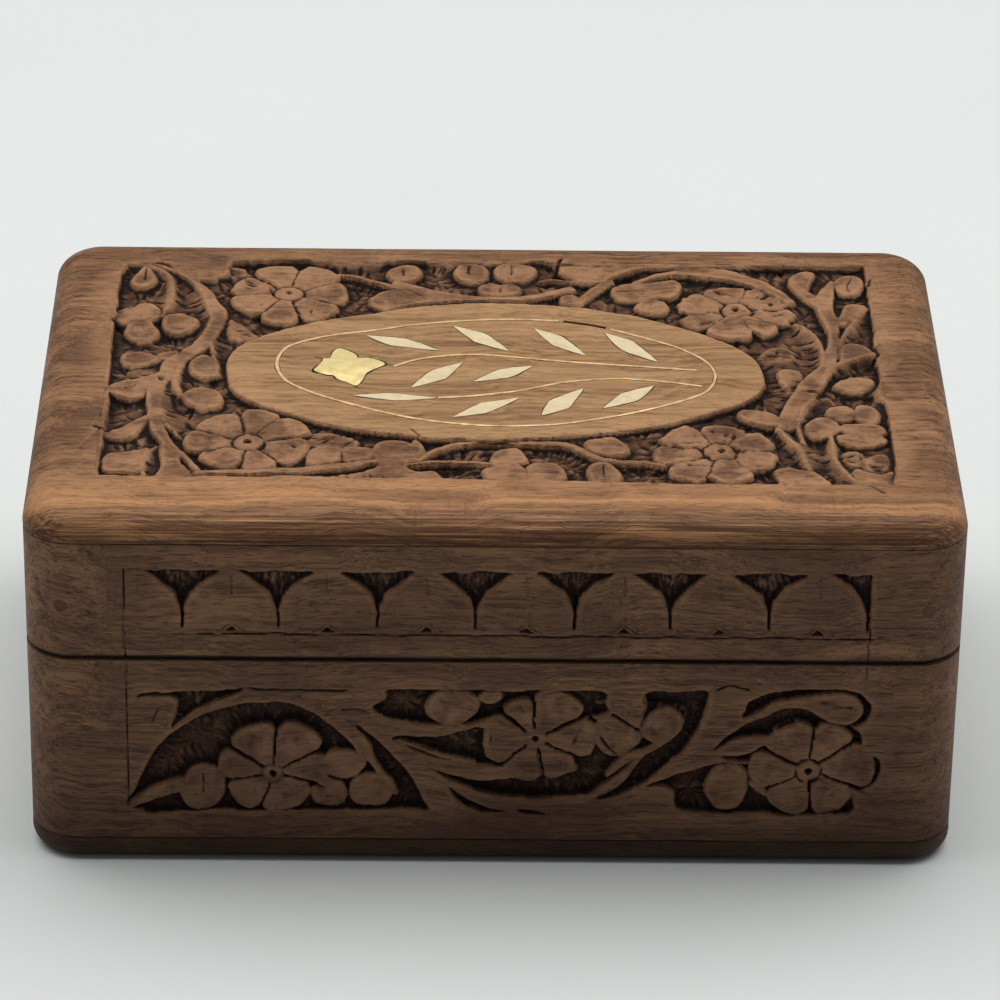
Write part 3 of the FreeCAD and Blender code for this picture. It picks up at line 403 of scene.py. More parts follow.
# Crests: level, reach to the left and to the right, half width : line.
TOP_RIDGES = """
0.12 1.7 3.2 0.22 : -60.6,42 -59.2,40 -57.5,38.5 -56.4,36.6 -55.7,34.2 -55.3,31 -55.3,28 -55.7,24.6 -56.6,21
0.35 0.8 2.8 0.22 : -51.2,34.8 -50.1,31.2 -49.3,27.5 -48.5,24 -48.2,20.5 -48.5,17 -49.4,14 -50.3,11.5
0.35 1.6 0.5 0.22 : -46.2,19.6 -47.5,16.5 -47.9,12 -47.5,8 -46.4,4
0.35 3.8 0.5 0.22 : -55.1,-3 -55.6,-7 -55.5,-11.5 -55,-15 -53.8,-18.5 -52,-21.5
0.25 1.4 1.2 0.5 : -52.4,4 -53.2,-0.5 -53.1,-4.2 -52.3,-7.4
0.5 1.8 1.6 0.22 : -55.4,-25 -56.8,-28.5 -57.3,-31.5 -57,-35
0.15 1.6 0.5 0.3 : -26.6,37.4 -23.5,36.3 -20.6,34.7 -17.7,33.1 -15.2,31.2 -13.1,29.5
0.3 1.4 2.6 0.22 : 51.7,20.4 53.3,18.2 54.6,15.6 55.4,12.3 55.7,8.6 55.4,5
0.4 3 0.6 0.22 : 64.6,26.6 62.6,23.4 60.9,19.6 59.5,15.6 58.7,11.6 58.4,8
0.15 2 1.6 0.3 : 64.6,9.6 61.7,7.8 58.7,6.0 56.7,3.8 55.2,0.7 54.6,-2
0.25 1.8 2 0.3 : 55,-19.2 55.2,-22.5 55.4,-26.7 56,-30.8 57.6,-34.6 59.8,-38
0.25 3.6 1.6 0.35 : 46.6,-17.5 48.3,-21.7 49.8,-25.4 51,-31.4
0.3 2.4 0.5 0.22 : 53.4,-6 51.6,-9.4 50.5,-13.4 49.9,-17.6 50.4,-21.6
"""
# Stems: level, lean, width of the wall, then widths along the stem : line.
TOP_STEMS = """
0.18 0.28 0.35 0.5 1.1 1.3 1.5 2 3 2.4 2.2 2.4 2.6 3.2 2.6 : -58.6,41 -54,37.6 -51.2,34 -49.3,30 -48,26 -47.1,22
    -47.5,18 -48.3,14 -49.6,10.5 -52,7 -54,3.4 -54.6,-1
0.2 0.15 0.35 2.6 2.2 2 2.2 2.2 1.8 1.2 0.7 : -56.4,-3 -56.7,-8 -56.2,-13 -55.6,-18 -54.6,-22 -52.8,-26
    -50.3,-29.3 -48.6,-33
0.2 0 0.35 1.4 2.2 3.6 2.8 2.2 1.5 1.2 1.8 : -16.6,34.4 -13,31.8 -9,29.2 -4,28.1 1,28.0 5,28.8 9,30.4 13.4,32.4
0.22 0 0.3 0.5 0.7 0.8 0.8 0.8 0.8 1 1.4 1.3 1.3 0.8 : -12.2,-29.9 -10.6,-27.2 -8.1,-25.2 -5.2,-24.2 -1,-23.5
    3.2,-23.6 7.3,-23.8 11.5,-24.2 14,-26.2 16.1,-28.2 17.9,-29.4
0.2 0 0.3 0.4 0.6 0.7 0.6 0.4 : -14.5,-31.5 -9.8,-30.3 -5.2,-30.4 -1,-30.8 1.4,-31.4
0.3 0 0.3 0.5 0.7 0.8 0.4 : 18,-28.8 20.7,-29.6 24.2,-29.7 27.6,-30.9
0.12 0.2 0.35 0.7 1.2 1.6 3.6 3.4 3 2.6 2.1 1.2 : 24.4,35 28,37.7 32,39.4 36,39.9 40,38.9 44,36.8 47,34.2
    49.5,31.3 51.2,28.6
0.15 0.2 0.35 0.8 2.6 2.9 2.6 1.9 1.8 2 2.8 4 3 2.6 3 : 58.8,36 57.4,30.6 57.1,25.5 58,19.6 57.8,14 57.2,9 56,4
    54.2,0 52.2,-4.4 50.3,-8 49,-12 48.2,-16.5
0.35 0 0.35 1.6 2.4 2.2 : 52.6,33.5 54.6,30.6 56.4,27.5
0.2 0.25 0.35 1.4 1.8 1.6 1 : 20.4,35.6 18.6,33.6 16.6,30.4 14.6,27
0.15 0 0.35 0.6 1.2 1.4 1.3 0.8 : -48.6,-34.5 -40.5,-33.9 -32.6,-33.5 -26.3,-32.2 -19.6,-30.1
0.4 0 0.35 0.3 0.5 0.4 : 8,35.8 11,36.1 14.5,35.7
"""
# Lobes, leaves and buds: level, lean across and up, dish : outline.
TOP_LOBES = """
0.15 0.06 0 0.08 : -61.1,39.8 -60.1,40 -59,37.8 -58.5,35.7 -58.8,33.6 -60.1,32.1 -61.8,32.3 -62.8,34.2 -62.2,37
0.06 0 0.02 0.08 : -57.6,43.4 -46.2,43.4 -46,39.4 -46,37.1 -47.6,36.1 -48,34.8 -49.3,34.8 -51.3,35.3 -53,37.1
    -55.1,39.2
0.4 -0.05 0 0.08 : -64.2,24.6 -61.8,25.7 -59.7,26.3 -58,25.3 -57.1,23.6 -57.1,20.7 -58.4,19.4 -60.3,19.6
    -62.2,18.6 -64,19.4 -64.9,22
0.3 0 -0.04 0.08 : -62.6,16.9 -62,18.2 -60.3,19.4 -58.6,19 -57.8,17.3 -56.8,14.8 -57.4,12.8 -58.6,11.3
    -60.1,11.5 -61.8,13.2 -62.7,14.8
0.22 0 0 0.08 : -56.3,20.3 -55.7,21.7 -53.8,22.5 -51.8,21.7 -50.4,20.3 -50.4,18.2 -51.3,16.1 -53.2,14.5
    -55.1,14.8 -56.1,16.5 -56.5,18.6
0.38 0 0.02 0.08 : -62.8,5.3 -62.6,7.1 -60.9,8.4 -58.8,7.8 -57,6.7 -56.3,5.3 -58,3.8 -60.1,3.1 -61.1,2.7
    -62.2,3.6
0.45 0 0 0.08 : -56.8,7.0 -54.8,8.3 -52.6,8.3 -52.2,6.8 -54.6,5.2 -56.6,5.4
0.95 0 0 0.08 : -60.8,2.6 -58.4,3.3 -56.2,2.4 -56.4,0.4 -58.6,-0.6 -60.6,0.6
0.65 0.1 0 0.08 : -45.0,20.6 -43.2,19 -40.9,16.5 -40,14.8 -41.3,13.6 -43,12.9 -44.7,13.5 -45.3,15.7 -45.3,18.2
0.28 0 0 0.08 : -51.2,4 -50.3,6.1 -49,7.3 -47.6,6.5 -46.3,3.6 -45.1,1.8 -45.2,0.2 -46.3,-0.7 -48.4,-1.2 -50.1,0
    -51,1.8
0.2 0.02 0 0.08 : -64.1,-4.6 -62.6,-3.5 -59.7,-2.3 -57.2,-0.3 -54.3,2 -53.6,-0.4 -54.3,-2.9 -55.5,-4.6 -57.4,-6
    -58,-7.5 -59.3,-8.6 -60.9,-8.9 -63,-7.9 -64.2,-6.3
0.22 0 0 0.08 : -52,-7.5 -50.3,-5.3 -48.4,-4.8 -46.3,-6 -45.2,-7.9 -45.3,-10.4 -46.3,-12 -48.4,-12.1 -50.1,-11
    -51.5,-9.6
0.32 0 0.03 0.08 : -65.4,-19.4 -63.6,-20 -61.8,-19.2 -59.7,-16.7 -57.4,-14.6 -57.1,-16.7 -58.2,-19.6 -59,-21.7
    -60.5,-23.2 -62.6,-23.2 -64,-22.1
0.3 0 0.03 0.08 : -64,-29.6 -63,-27.6 -59.7,-27.1 -56.9,-25.6 -56.4,-27.9 -57.2,-30.4 -58,-34 -60.5,-34
    -63.2,-34 -63.9,-32
0.18 0 0.02 0.08 : -54.5,-24 -52.6,-26.3 -50.6,-28.4 -51.4,-29.8 -50.9,-31.7 -49.3,-34.2 -49.2,-37 -54.6,-37
    -54.2,-31.7 -54.6,-28.3
0.85 0 0.03 0.08 : -30.9,-20 -27.6,-19.6 -23.8,-20.8 -22.2,-22.9 -23.4,-24.6 -26.3,-24.9 -29.5,-25 -30.7,-22.5
0.32 0 0 0.08 : -30.5,-27 -29.5,-25.4 -25.4,-25.2 -25.2,-27.9 -25.9,-30.3 -29.2,-31.8 -30.7,-30.3
0.4 0 0 0.08 : -24.9,-25.4 -22.5,-25.1 -20.2,-25.9 -19.9,-28 -21.5,-29.5 -24.6,-29.8 -25,-27.8
0.55 -0.03 0 0.08 : -19.6,-24 -16.8,-22.8 -13.6,-24 -12.8,-27.5 -14.2,-31 -13,-33 -9.6,-33 -9.4,-36.8 -18,-37
    -26,-37 -33,-37 -32,-34.8 -24,-33.6 -19.4,-31 -20,-27.5
0.3 0 0 0.08 : -13.4,-22.6 -12.6,-23 -11.4,-26.4 -11.8,-29.2 -13.4,-29.6 -14.2,-26.4
0.35 0 0 0.08 : -0.3,-26.6 1.5,-25.3 3.6,-25.3 4.8,-27.4 5.2,-29.9 2.4,-30.3 -1,-30
0.22 0 0 0.08 : -2.2,-32.8 -0.2,-31.4 2.8,-30.4 4.4,-31.6 5,-34.1 4.8,-35.9 0.7,-36.4 -1.5,-35.2
0.36 0 0 0.08 : 5.3,-30.8 8.6,-30 10.7,-31.2 11.7,-34.1 10.3,-36.2 5.7,-36.4 5.0,-33.4
0.2 0 0 0.08 : 15,-32 16.1,-30.5 18.2,-30.3 19.8,-32.4 20.7,-34.9 19.4,-36.8 16.1,-36.8 15,-34.4
0.3 0.02 0 0.08 : 15,-22.6 16.1,-21.5 19.3,-20.9 21.3,-23.3 21.9,-25.8 19.8,-27.5 17.8,-27.3 15.3,-25.8
0.22 0 0.04 0.08 : 40.2,-12.5 41.3,-11 43.3,-11.2 45.8,-12.5 47.6,-15.4 45.4,-16.9 42.5,-15.6 40.4,-13.8
0.45 0 0 0.08 : 45.4,-31.8 48,-31.2 51.4,-32.4 53.6,-35 53.8,-38.4 46,-38.4 45.6,-35
0.32 0 0 0.08 : 57.2,-1.6 59,-0.1 61.4,0.5 63.4,0.2 63.8,-1.6 63.2,-3 61.6,-4.2 59.6,-4.6 57.8,-3.9 56.6,-2.8
0.45 0.03 0 0.08 : 55.4,-10.6 57.6,-9.4 59.6,-10.2 59.8,-13 57.6,-14.6 55.2,-13.4
0.35 0 0.05 0.08 : 60,-9.6 62,-9.0 63.6,-11.2 63.4,-14.6 61.6,-15.8 59.7,-13.4
0.4 0 -0.05 0.08 : 51.2,-15.8 53.4,-13.8 56,-14.4 57,-17.6 55.2,-19.6 52.6,-20.6 51,-18.6
0.3 0 0.02 0.08 : 57,-16 60.4,-15.6 63.8,-16.4 64.4,-18.8 62,-20 58.6,-19.6 56.8,-18
0.55 0 0.04 0.08 : 56.4,-19.2 60,-19.4 64,-19.6 64.2,-22 61,-23.2 58,-22.8 56.2,-21.2
0.85 0 0 0.08 : 56.6,-25 59.6,-24.6 60.4,-27.6 58.2,-29.4 56.4,-27.6
0.8 0 0 0.08 : 60.6,-27 63.6,-25.8 64.6,-29 62.6,-31.8 60.2,-30.4
0.55 0 0.02 0.08 : 58.6,-31.2 62,-32.4 64.8,-32 65.4,-38.4 60.2,-38.4 58,-34.8
0.28 0 0.02 0.08 : 20.6,33.6 22.5,35 26.3,35 29.6,35.8 31.7,35.9 32.6,34 32.1,31.1 30.6,29.4 28.3,29.7 25,28.5
    22.5,28.6 21,30
0.42 0 0 0.08 : 24.4,26.1 25.4,28.6 27.9,29.4 29.6,28.4 30.2,26.1 29.4,24 27.5,23.4 25.4,24.4
0.28 0.05 0 0.08 : 51.5,36.1 52.3,39 54,40.5 56,40.5 55.6,37.8 54.6,33.2 53.3,31.7 51.9,33.6
0.22 0 0 0.08 : 59.2,34.8 59.6,37.3 61,38.4 63.3,38.2 64.4,36 63.8,33.2 62.5,31.7 60,31.8
0.32 0.02 0 0.08 : 58.8,20.7 59.8,24.4 60.8,28 62.9,28 64.4,26.9 63.3,24.4 61.7,22.3 60.2,19.8
0.28 0 0 0.08 : 58.5,7.2 58.8,11 60,13 62,12.8 64.2,10.9 63.8,9.6 61.7,7.9 59.3,6.6
0.75 0 0.03 0.08 : 44.9,9.4 46.7,11.7 49.2,12.3 51,10.7 50.8,8.2 49.2,6.5 46.7,6.4 45.2,7.4
0.65 0.02 0 0.08 : 47.6,2.5 49.2,3.8 51.4,3.4 52.1,0.8 51.9,-2 51,-4.2 49.3,-4.2 48.1,-1.3
0.33 0 0 0.08 : -21.2,28.5 -19.8,31 -17.3,31.8 -14.8,30.6 -12,28.9 -10,26.6 -15.2,25.4 -19.0,24.6 -20.6,26
0.3 0 0.03 0.08 : -18.5,38.8 -17.4,41.2 -15.3,42 -13.2,41 -12.3,38.8 -13,36.4 -15.2,35.2 -17.5,36.2
0.26 0 0 0.08 : -6.7,38.6 -5.8,41.4 -3.8,42.4 -1.6,41.4 -0.6,38.6 -1.4,35.8 -3.4,34.8 -5.8,35.8
0.24 0 0 0.08 : 0.4,39.4 1.4,41.8 3.4,42.4 5.6,42.2 7.5,40.8 7.4,38 5.4,35.6 3,35.2 1,36.6
0.36 0 0 0.08 : -2.5,33.2 -0.8,35 1.4,34.6 3.2,35 4.8,33 4,30.6 0.8,29.8 -1.8,30.8
0.05 0 0.02 0.08 : 11.4,43.4 26,43.4 34,43.4 38,42.4 36,41.2 30,41 26,40.8 22.8,38.8 20.3,36.6 19.4,35.2
    15.4,35.2 12.8,37.7 11.2,41
0.34 0 0 0.08 : 11.3,28.6 12,30.6 13.8,30.6 15,28.8 14.4,26.6 12.9,25.6 11.6,26.8
1.05 0 0 0.08 : 16.6,29 18.6,30.4 20,28.6 19.6,26 17.4,25.4
0.7 0 0 0.08 : -46.2,40.4 -43.6,40.4 -42.6,38.6 -43.6,37 -46,37.4
"""
# Flowers: x, y, boss, level, dish, part, eye, ring, ragged, low : each petal's start, end and radius.
TOP_FLOWERS = """
-35.2 30.4 2.4 0.22 0.22 0.5 0.55 0.4 0 0.3 : 79,131.5,10.7 131.5,184.5,10.2 184.5,241,10.4 241,282,11.6
    -78,-27,10.9 -27,28,10.2 28,79,11.2
-40.4 -23.6 2.4 0.22 0.22 0.5 0.75 0.4 0 0.3 : 58,99,11.2 99,157,10.6 157,204,10.6 204,262,9.5 262,306,9.8
    -54,11.6,10.3 11.6,58,10.8
41.7 25.4 2.4 0.22 0.22 0.35 0.65 0.4 0.45 0.4 : 74,131,9.4 131,190,9.9 190,233,10.2 233,288,10.8 288,320,10.3
    -40,6,10.2 6,74,9.8
36.9 -25.7 2.4 0.22 0.22 0.35 0.7 0.4 0.45 0.4 : 54,115,9.4 115,168,10.4 168,210,11.2 210,255,11.6 255,304,10.6
    -56,4,9.3 4,54,9.3
"""
# Knife lines that overrun, slips of the knife, dents and two checks in the right rim: width, depth : line.
TOP_CUTS = """
0.26 0.3 : -69.5,-35.9 -33,-36.1
0.26 0.3 : -26,-36.1 -17,-36.2
0.26 0.3 : 22,-37.7 67.5,-37.8
0.26 0.3 : -58,41.8 -46,42.1
0.26 0.3 : 11.5,42.5 36,42.4
0.26 0.3 : 64.9,-40 65.1,43.8
0.26 0.3 : -64.8,-38 -64.9,43
0.26 0.3 : 38,42.1 65,42.1
0.6 1.2 : -65.2,20.2 -64,18.6 -62.7,16.4
0.55 1.1 : -66,-19 -64.8,-19.8 -63,-20.6
0.45 0.8 : -58.3,26.6 -57,24.2
0.5 0.9 : 12.2,44.3 11.4,42 10.9,38.6
0.3 0.35 : -62.2,37 -61.2,39.8
0.3 0.35 : 55.3,40.2 54.8,36.4 54,33.2
0.3 0.4 : 21,32.8 26.3,32.1
0.4 0.9 : 51.2,-4.6 53.4,-4.7 55.2,-5.2
0.5 0.9 : 65.6,37.2 65.2,34.2
0.5 0.8 : 64.6,12 65.2,8.2
0.35 0.45 : 64.9,0.3 67,0.6 69.75,-0.4
0.35 0.45 : 65,-20.5 68,-20.6 69.75,-21.8
0.4 0.6 : 60.4,-37.4 62.9,-40.4
0.4 0.7 : -28,-34.7 -24,-33.2 -20,-30.9
0.25 0.3 : 62.5,37.8 61.4,34.6 61.8,32
0.3 0.4 : -15.6,40.6 -15.4,37
0.3 0.4 : -4,41.6 -4.2,38
0.25 0.3 : 3.4,42 3.4,37.6
0.25 0.3 : 1.4,34.4 1.2,31
0.3 0.5 : -52.8,8.2 -53.4,6.8
0.25 0.35 : -59.6,-4.4 -61.8,-5.8
0.3 0.4 : -60.3,39.6 -60.4,34.6
0.25 0.3 : 57.5,-16.6 63.4,-17.2
0.25 0.35 : 6,-33.2 10.6,-33.4
0.25 0.3 : 17.6,-31 17.8,-35
0.3 0.4 : -14,-19.4 -12.6,-21.4 -12,-22.4
0.25 0.3 : -28.4,5.3 -29.4,5.5 -30.4,6.0
0.25 0.25 : -18.5,3.3 -17.6,3.5 -16.9,3.2
0.25 0.3 : -29.2,-0.1 -30,0.1 -30.7,0.8
0.25 0.25 : -23.2,-4.4 -22.7,-5 -22.2,-5.3
0.3 0.3 : 30.4,-22.9 34,-23.2
0.3 0.3 : 31,-30 35.6,-30.4
"""


def top_relief():
    """The top board: four flowers at the corners of a plain oval, with stems, leaves and buds between them."""
    r = Relief(69.75, -44.5, 44.5, seed=11, ground=1.6)
    r.sink(TOP_FIELD, 1.0, slope=2.4, smooth=False)
    r.each(r.sink, TOP_HOLLOWS)
    r.each(r.ridge, TOP_RIDGES)
    r.each(r.stem, TOP_STEMS)
    r.each(r.plate, TOP_LOBES)
    r.each(r.flower, TOP_FLOWERS)
    r.gouges(2300, 1.7, 0.42, 0.5)
    # The plain oval stands over all of it, in a moat.
    d = to_shape(0.6 * r.X + 0.4 * r.U, 0.6 * r.Y + 0.4 * r.V, smooth_line(OVAL, 4, True))
    moat = r.ground * (0.75 + 0.35 * ease(6, -14, r.Y) * ease(30, -10, r.X))
    moat = moat * ease(-0.5, 0.1, d) * (1 - 0.35 * ease(0.5, 1.3, d))
    r.depth = np.where(d < 1.3, np.maximum(r.depth, moat), r.depth)
    r.stand(np.s_[:, :], d, 0.05, wall=0.42, soft=0.20, round_over=0.9)
    r.plain = 1 - ease(-0.3, 0.3, d)
    r.each(r.cut, TOP_CUTS)
    # A small dent in the stem left of the oval.
    x, y = -55.7, -1.7
    win = r.near((x, y), 2)
    r.depth[win] += 0.4 * (1 - ease(0.6, 1.1, np.hypot((r.U[win] - x) / 0.8, (r.V[win] - y) / 1.15)))
    return r.finish()


# The cut between two scallops: heights, and its half width at each.
SCALLOP = (
    (44.8, 46, 47, 48, 49, 50, 50.8, 51.6, 52.5, 53.4, 54.3, 55.4),
    (0.06, 0.2, 0.34, 0.52, 0.82, 1.2, 1.65, 2.35, 3.2, 4.3, 5.5, 7.1),
)
PITCH = 15.8  # from one scallop to the next


def scratches(r, right, low, high):
    """Fine scratches along the grain of a wall."""
    half = r.xs[-1]
    for _ in range(int(half / 4)):
        x, y = r.rng.uniform(-half, right), r.rng.uniform(low, high)
        r.cut([(x, y), (x + r.rng.uniform(2, 7), y + r.rng.uniform(-0.3, 0.3))], 0.2, 0.12)


def lid_relief(half, seed, first, count):
    """A lid wall's outer face: pointed scallops parted by textured cuts, first the x of the first slit."""
    r = Relief(half, LID_RIM, TOP_SEAM, seed, ground=1.45)
    u, v, last = r.U, r.V, first + (count - 1) * PITCH
    for k in range(count):
        x = first + k * PITCH + r.rng.uniform(-0.25, 0.25)
        reach = np.interp(v, *SCALLOP) + 0.3 * r.noise(1.8, 40) * ease(47, 51, v)
        over = ease(54.6, 55.2, v + 0.25 * r.noise(2.0, 0))
        d = reach - np.abs(u - x)
        if k == count - 1:
            d = np.where(u > x + 0.4, np.minimum(d, 0.3 - (u - x)), d)
        body = ease(-0.1, 0.75, d) * (1 - over) * (v > 44.6)
        bottom = r.ground * (0.62 + 0.38 * ease(45, 50, v) - 0.30 * ease(50.5, 55, v))
        r.depth = np.maximum(r.depth, body * bottom)
        r.cut([(x, 44.5), (x + 0.1, 47.4)], 0.34, 0.75)
    for k in range(count - 1):
        x = first + (k + 0.5) * PITCH + r.rng.uniform(-0.3, 0.3)
        a, b = np.abs(u - x), v - 44.0
        notch = 1.05 * np.clip(1 - a / 1.7, 0, 1) ** 1.5 - b
        r.depth += 0.55 * ease(0.0, 0.5, notch) * ease(-0.3, 0.0, b) * (a < 1.7)
        for sign in (-1, 1):
            r.cut([(x + sign * a, b) for a, b in ((2.6, 43.9), (1.3, 44.5), (0.2, 45.4))], 0.25, 0.28)
        r.cut([(x - 0.1, 54.6), (x + 0.15, 50.4)], 0.4, 0.18)
    r.gouges(int(half * 8), 1.3, 0.3, 0.5, 0.4, math.pi / 2)
    # The lines that the carver marked the border out with.
    r.cut([(first - 0.5, 43.4), (last + 7, 43.2)], 0.24, 0.55)
    r.cut([(first - 9.3, 43.5), (first + 1, 43.4)], 0.2, 0.18)
    r.cut([(first - 9.1, LID_RIM - 1), (first - 9.0, 56.0)], 0.2, 0.38)
    r.cut([(last + 0.3, LID_RIM - 1), (last + 0.2, 55.2)], 0.2, 0.38)
    r.cut([(first - 8.6, 55.3), (first - 2, 55.2)], 0.2, 0.2)
    scratches(r, half, LID_RIM + 1, TOP_SEAM - 1)
    return r.finish()


# The base walls' tables have the same columns as the top board's.
BASE_HOLLOWS = """
1 0 0.04 0.4 : -60,11.3 -58.6,13.8 -57.2,16.8 -55.9,19.6 -54.6,21.8 -53,23.8 -51,25.6 -48.3,27.4 -45,29 -41,30
    -37,30.5 -33.5,30.4 -31,29.4 -28.5,28 -26,25.9 -24,23.8 -22.4,22.2 -21,20.6 -19.8,18.8 -18,16 -15.6,13
    -13.6,11.4 -11,10.1 -20,9.9 -32,9.6 -45,9.6 -50,9.2 -56,8.8 -57.6,9.6 -59,10.2
0.9 0.04 0 0.4 : -24.4,27.8 -21.5,25.9 -19,23.6 -16.5,20.7 -14.5,18.5 -13,16.2 -12,14 -11,11.5 -10.5,9.9 -14,9.9
    -18,10.4 -16.2,11.8 -15.6,13.4 -16.3,15.4 -17.8,17 -19.5,20 -20.3,23 -22.4,25.6
0.8 0 0.04 0.4 : -57.2,31.6 -54.6,32.1 -50,32.5 -45,32.6 -40.4,33 -42.4,31.6 -45.4,30.3 -48.4,28.4 -50.6,26.6
    -52.4,25.3 -52,28 -51.4,30.2 -52.2,31.4 -54.6,31.4
1 0 -0.03 0.4 : -20,29.4 -17.6,31.4 -17.2,33 -10,33.2 -4,33.1 0,33 3,32.9 7,33.3 12,33.2 17.4,33 19.4,31
    18.4,28.6 15,27.6 10,27.4 3,26 -0.5,27.4 -3.4,26.4 -7.4,26.6 -10.6,26.2 -14.2,26.6 -17.2,27.3
1 0 -0.03 0.4 : -16.8,23.9 -12,24.3 -8,24.5 -4.8,25.4 -2,26 0,24 -1,20.5 2,18.8 0,18.6 -5,19.2 -9,19.8
    -12.6,21.2
1 0 -0.04 0.4 : -9.6,17.6 -7.5,16.1 -5,14.8 -2,13.7 2,12.8 7,12.3 12,12.4 15.4,12.9 17.6,13.4 20.5,15.5 23,18.4
    24.2,20.8 21.4,19.2 18.6,16.6 19.6,19 21.6,21 24.4,22 27,23.4 29.6,25.2 31.4,28 31.4,31.4 26,31.6 24.4,29.4
    23,26 19,26 15.8,28 13,24 12,20 14,18 9,16.8 3,16.4 -2,15.9 -6,16.6
1 0.02 0.02 0.4 : 15.8,12.2 18.4,12.4 21.6,13.4 25.2,15.6 28.6,18.8 31.4,22 33.2,25.6 34.4,29 34.9,33 30,33
    25,32.9 24.6,30.4 30.6,29.6 31,27.6 29.8,24.6 26.8,22.2 24.4,20.6 23,18.2 20.8,15.2 18.4,13.3
1 0.02 0.03 0.4 : 40.3,28 41,30.6 43,32.2 47,33.3 53,33.7 58,33.5 60.2,32.4 61.5,30.2 60.9,28 59,26.6 56.8,26.8
    59.8,29 59.2,31.5 57.5,32.8 52,32.2 46,31 42.6,28.6
1 0 -0.04 0.4 : 35.4,21.6 38,24.6 41,26.8 44,28.4 47,29.9 50.4,30 53.4,28.3 56.4,26.6 53.6,25.6 51.6,26.4
    49,27.4 46,26 45.4,24.6 40,24 37,22.6
0.85 0 0 0.4 : 37,20.6 41,21.1 44.4,22.8 46.6,22.4 46.4,20.6 42,19.8 39,19.8
0.85 0 0 0.4 : 28.6,16.6 33,18.4 37.6,19.5 42,19.2 42.8,17.6 42,15 44.6,13 45.4,10.2 41,9.6 34,9.6 30,10.4
    29.6,13.6 27.6,14.9 25,15
0.8 0 0 0.4 : -7.2,14.6 -4.6,12.7 -1,10.9 2,9.8 -2,10 -5.4,11.4
0.55 0 0 0.4 : 4,10.4 7,10.2 9,9.3 5,9.4
0.9 0 0 0.4 : 42,21 45.5,21.8 46,26 49,27.6 52.4,26 56,27.6 59.8,25.4 60.6,21.6 63.2,20.4 63.4,16.8 61.2,14.6
    58.8,14.4 58.6,10 45,9.8 44.6,14.2 41.8,16.4
"""
BASE_STEMS = """
0.12 0.15 0.35 0.5 1.6 2.2 2.4 2 : -60.8,10.2 -57.4,11.9 -54.0,13.6 -51.0,14.6 -48.2,14.4
0.12 0 0.35 2 1.8 1.6 1 : -23.4,28.6 -23.4,25.4 -21.8,22.6 -20.6,20.2
0.12 0.1 0.35 0.5 1.3 1.7 1.3 0.6 : 14.8,11.8 17.4,13.4 20.6,16.2 22.8,19 24.2,21.2
"""
BASE_LOBES = """
0.1 0 0 0.25 : -56.9,30.4 -55,31.4 -52.6,31.2 -51.6,29.4 -52,27 -53.4,25.4 -55.4,25.8 -56.6,27.8
0.16 0 0 0.1 : -50.8,14.2 -49.8,17 -47.8,18.2 -45.2,17.6 -43.7,15.4 -44.2,12.4 -46.2,10 -49,10 -50.6,11.8
0.22 0 0.03 0.1 : -27.6,19.6 -26,21.3 -23.6,21.3 -21.4,20.6 -20.8,18.4 -22.6,16.4 -25,16.2 -27,17.2
0.25 0 0 0.12 : -29.6,13.4 -28.6,15.6 -26.4,16 -24.4,15 -23.8,12.6 -25.2,10.8 -27.6,10.7 -29.2,11.6
0.2 0 0 0.1 : -23.2,14.4 -22,16.4 -19.4,17 -17.2,15.8 -16.2,13.6 -17.4,11.4 -20,10.8 -22.6,11.6
0.18 0 0 0.1 : -11,29.8 -9.4,32.4 -6.6,33.3 -4,32.6 -2.4,30.4 -3.4,27.8 -6,26.4 -8.4,26.6 -10.4,27.8
0.22 0 0 0.12 : 18.5,30.6 19.6,33 21.9,33.7 24,32.8 24.9,30.6 24.4,28 23.6,25.6 21.4,26.6 19.4,28.4
0.3 0.03 0 0 : 16.2,24 17,26.8 19.6,27.6 22.4,26.4 24.2,24.4 23,22 20.4,20.6 17.8,21.4
0.2 0 0 0.3 : 24,26 25.4,28.6 28,29.8 30.2,28.6 30.8,26.4 29,24.2 26.6,23 24.6,23.8
0.12 0 0 0.2 : 35,30.6 35.6,33.2 37.6,34 40.2,33.4 41.3,31 40.4,28.4 38.4,27.6 36,27.8
0.3 0 0 0.15 : 34.9,14 35.4,17 37,19 39.8,19.2 41.6,17.4 41.4,13.4 39.8,10.8 36.6,10.7
0.08 0 0 0 : 41.8,27.8 44.6,30.2 48,31.2 52,32.2 56,33 59,31.8 60,29.6 58.6,27.4 56.2,26.9 53,28.4 50,30.1
    46,29.9
0.55 0 0 0 : -3,31.6 -1,33 1.4,32.6 1.2,30.8 -1.4,30.2
"""
BASE_FLOWERS = """
-36 16.9 1.5 0.1 0.28 0.95 0.6 0.12 0 0.22 : 83,145,9.6 29,83,10.2 -18,29,9.3 -109,-18,7.6 189,251,8 145,189,8.9
6.7 24 1.5 0.1 0.28 0.95 0.5 0.12 0 0.22 : 90,140,7.8 26,90,9.8 -28,26,10 -78,-28,8.6 224,282,8.4 140,224,8.1
51.7 17.9 1.9 0.1 0.28 0.95 0.65 0.3 0 0.22 : 85,152,9.5 37,85,9.9 -22,37,10.9 -87.5,-22,8.9 204,272.5,8.5
    152,204,9.8
"""
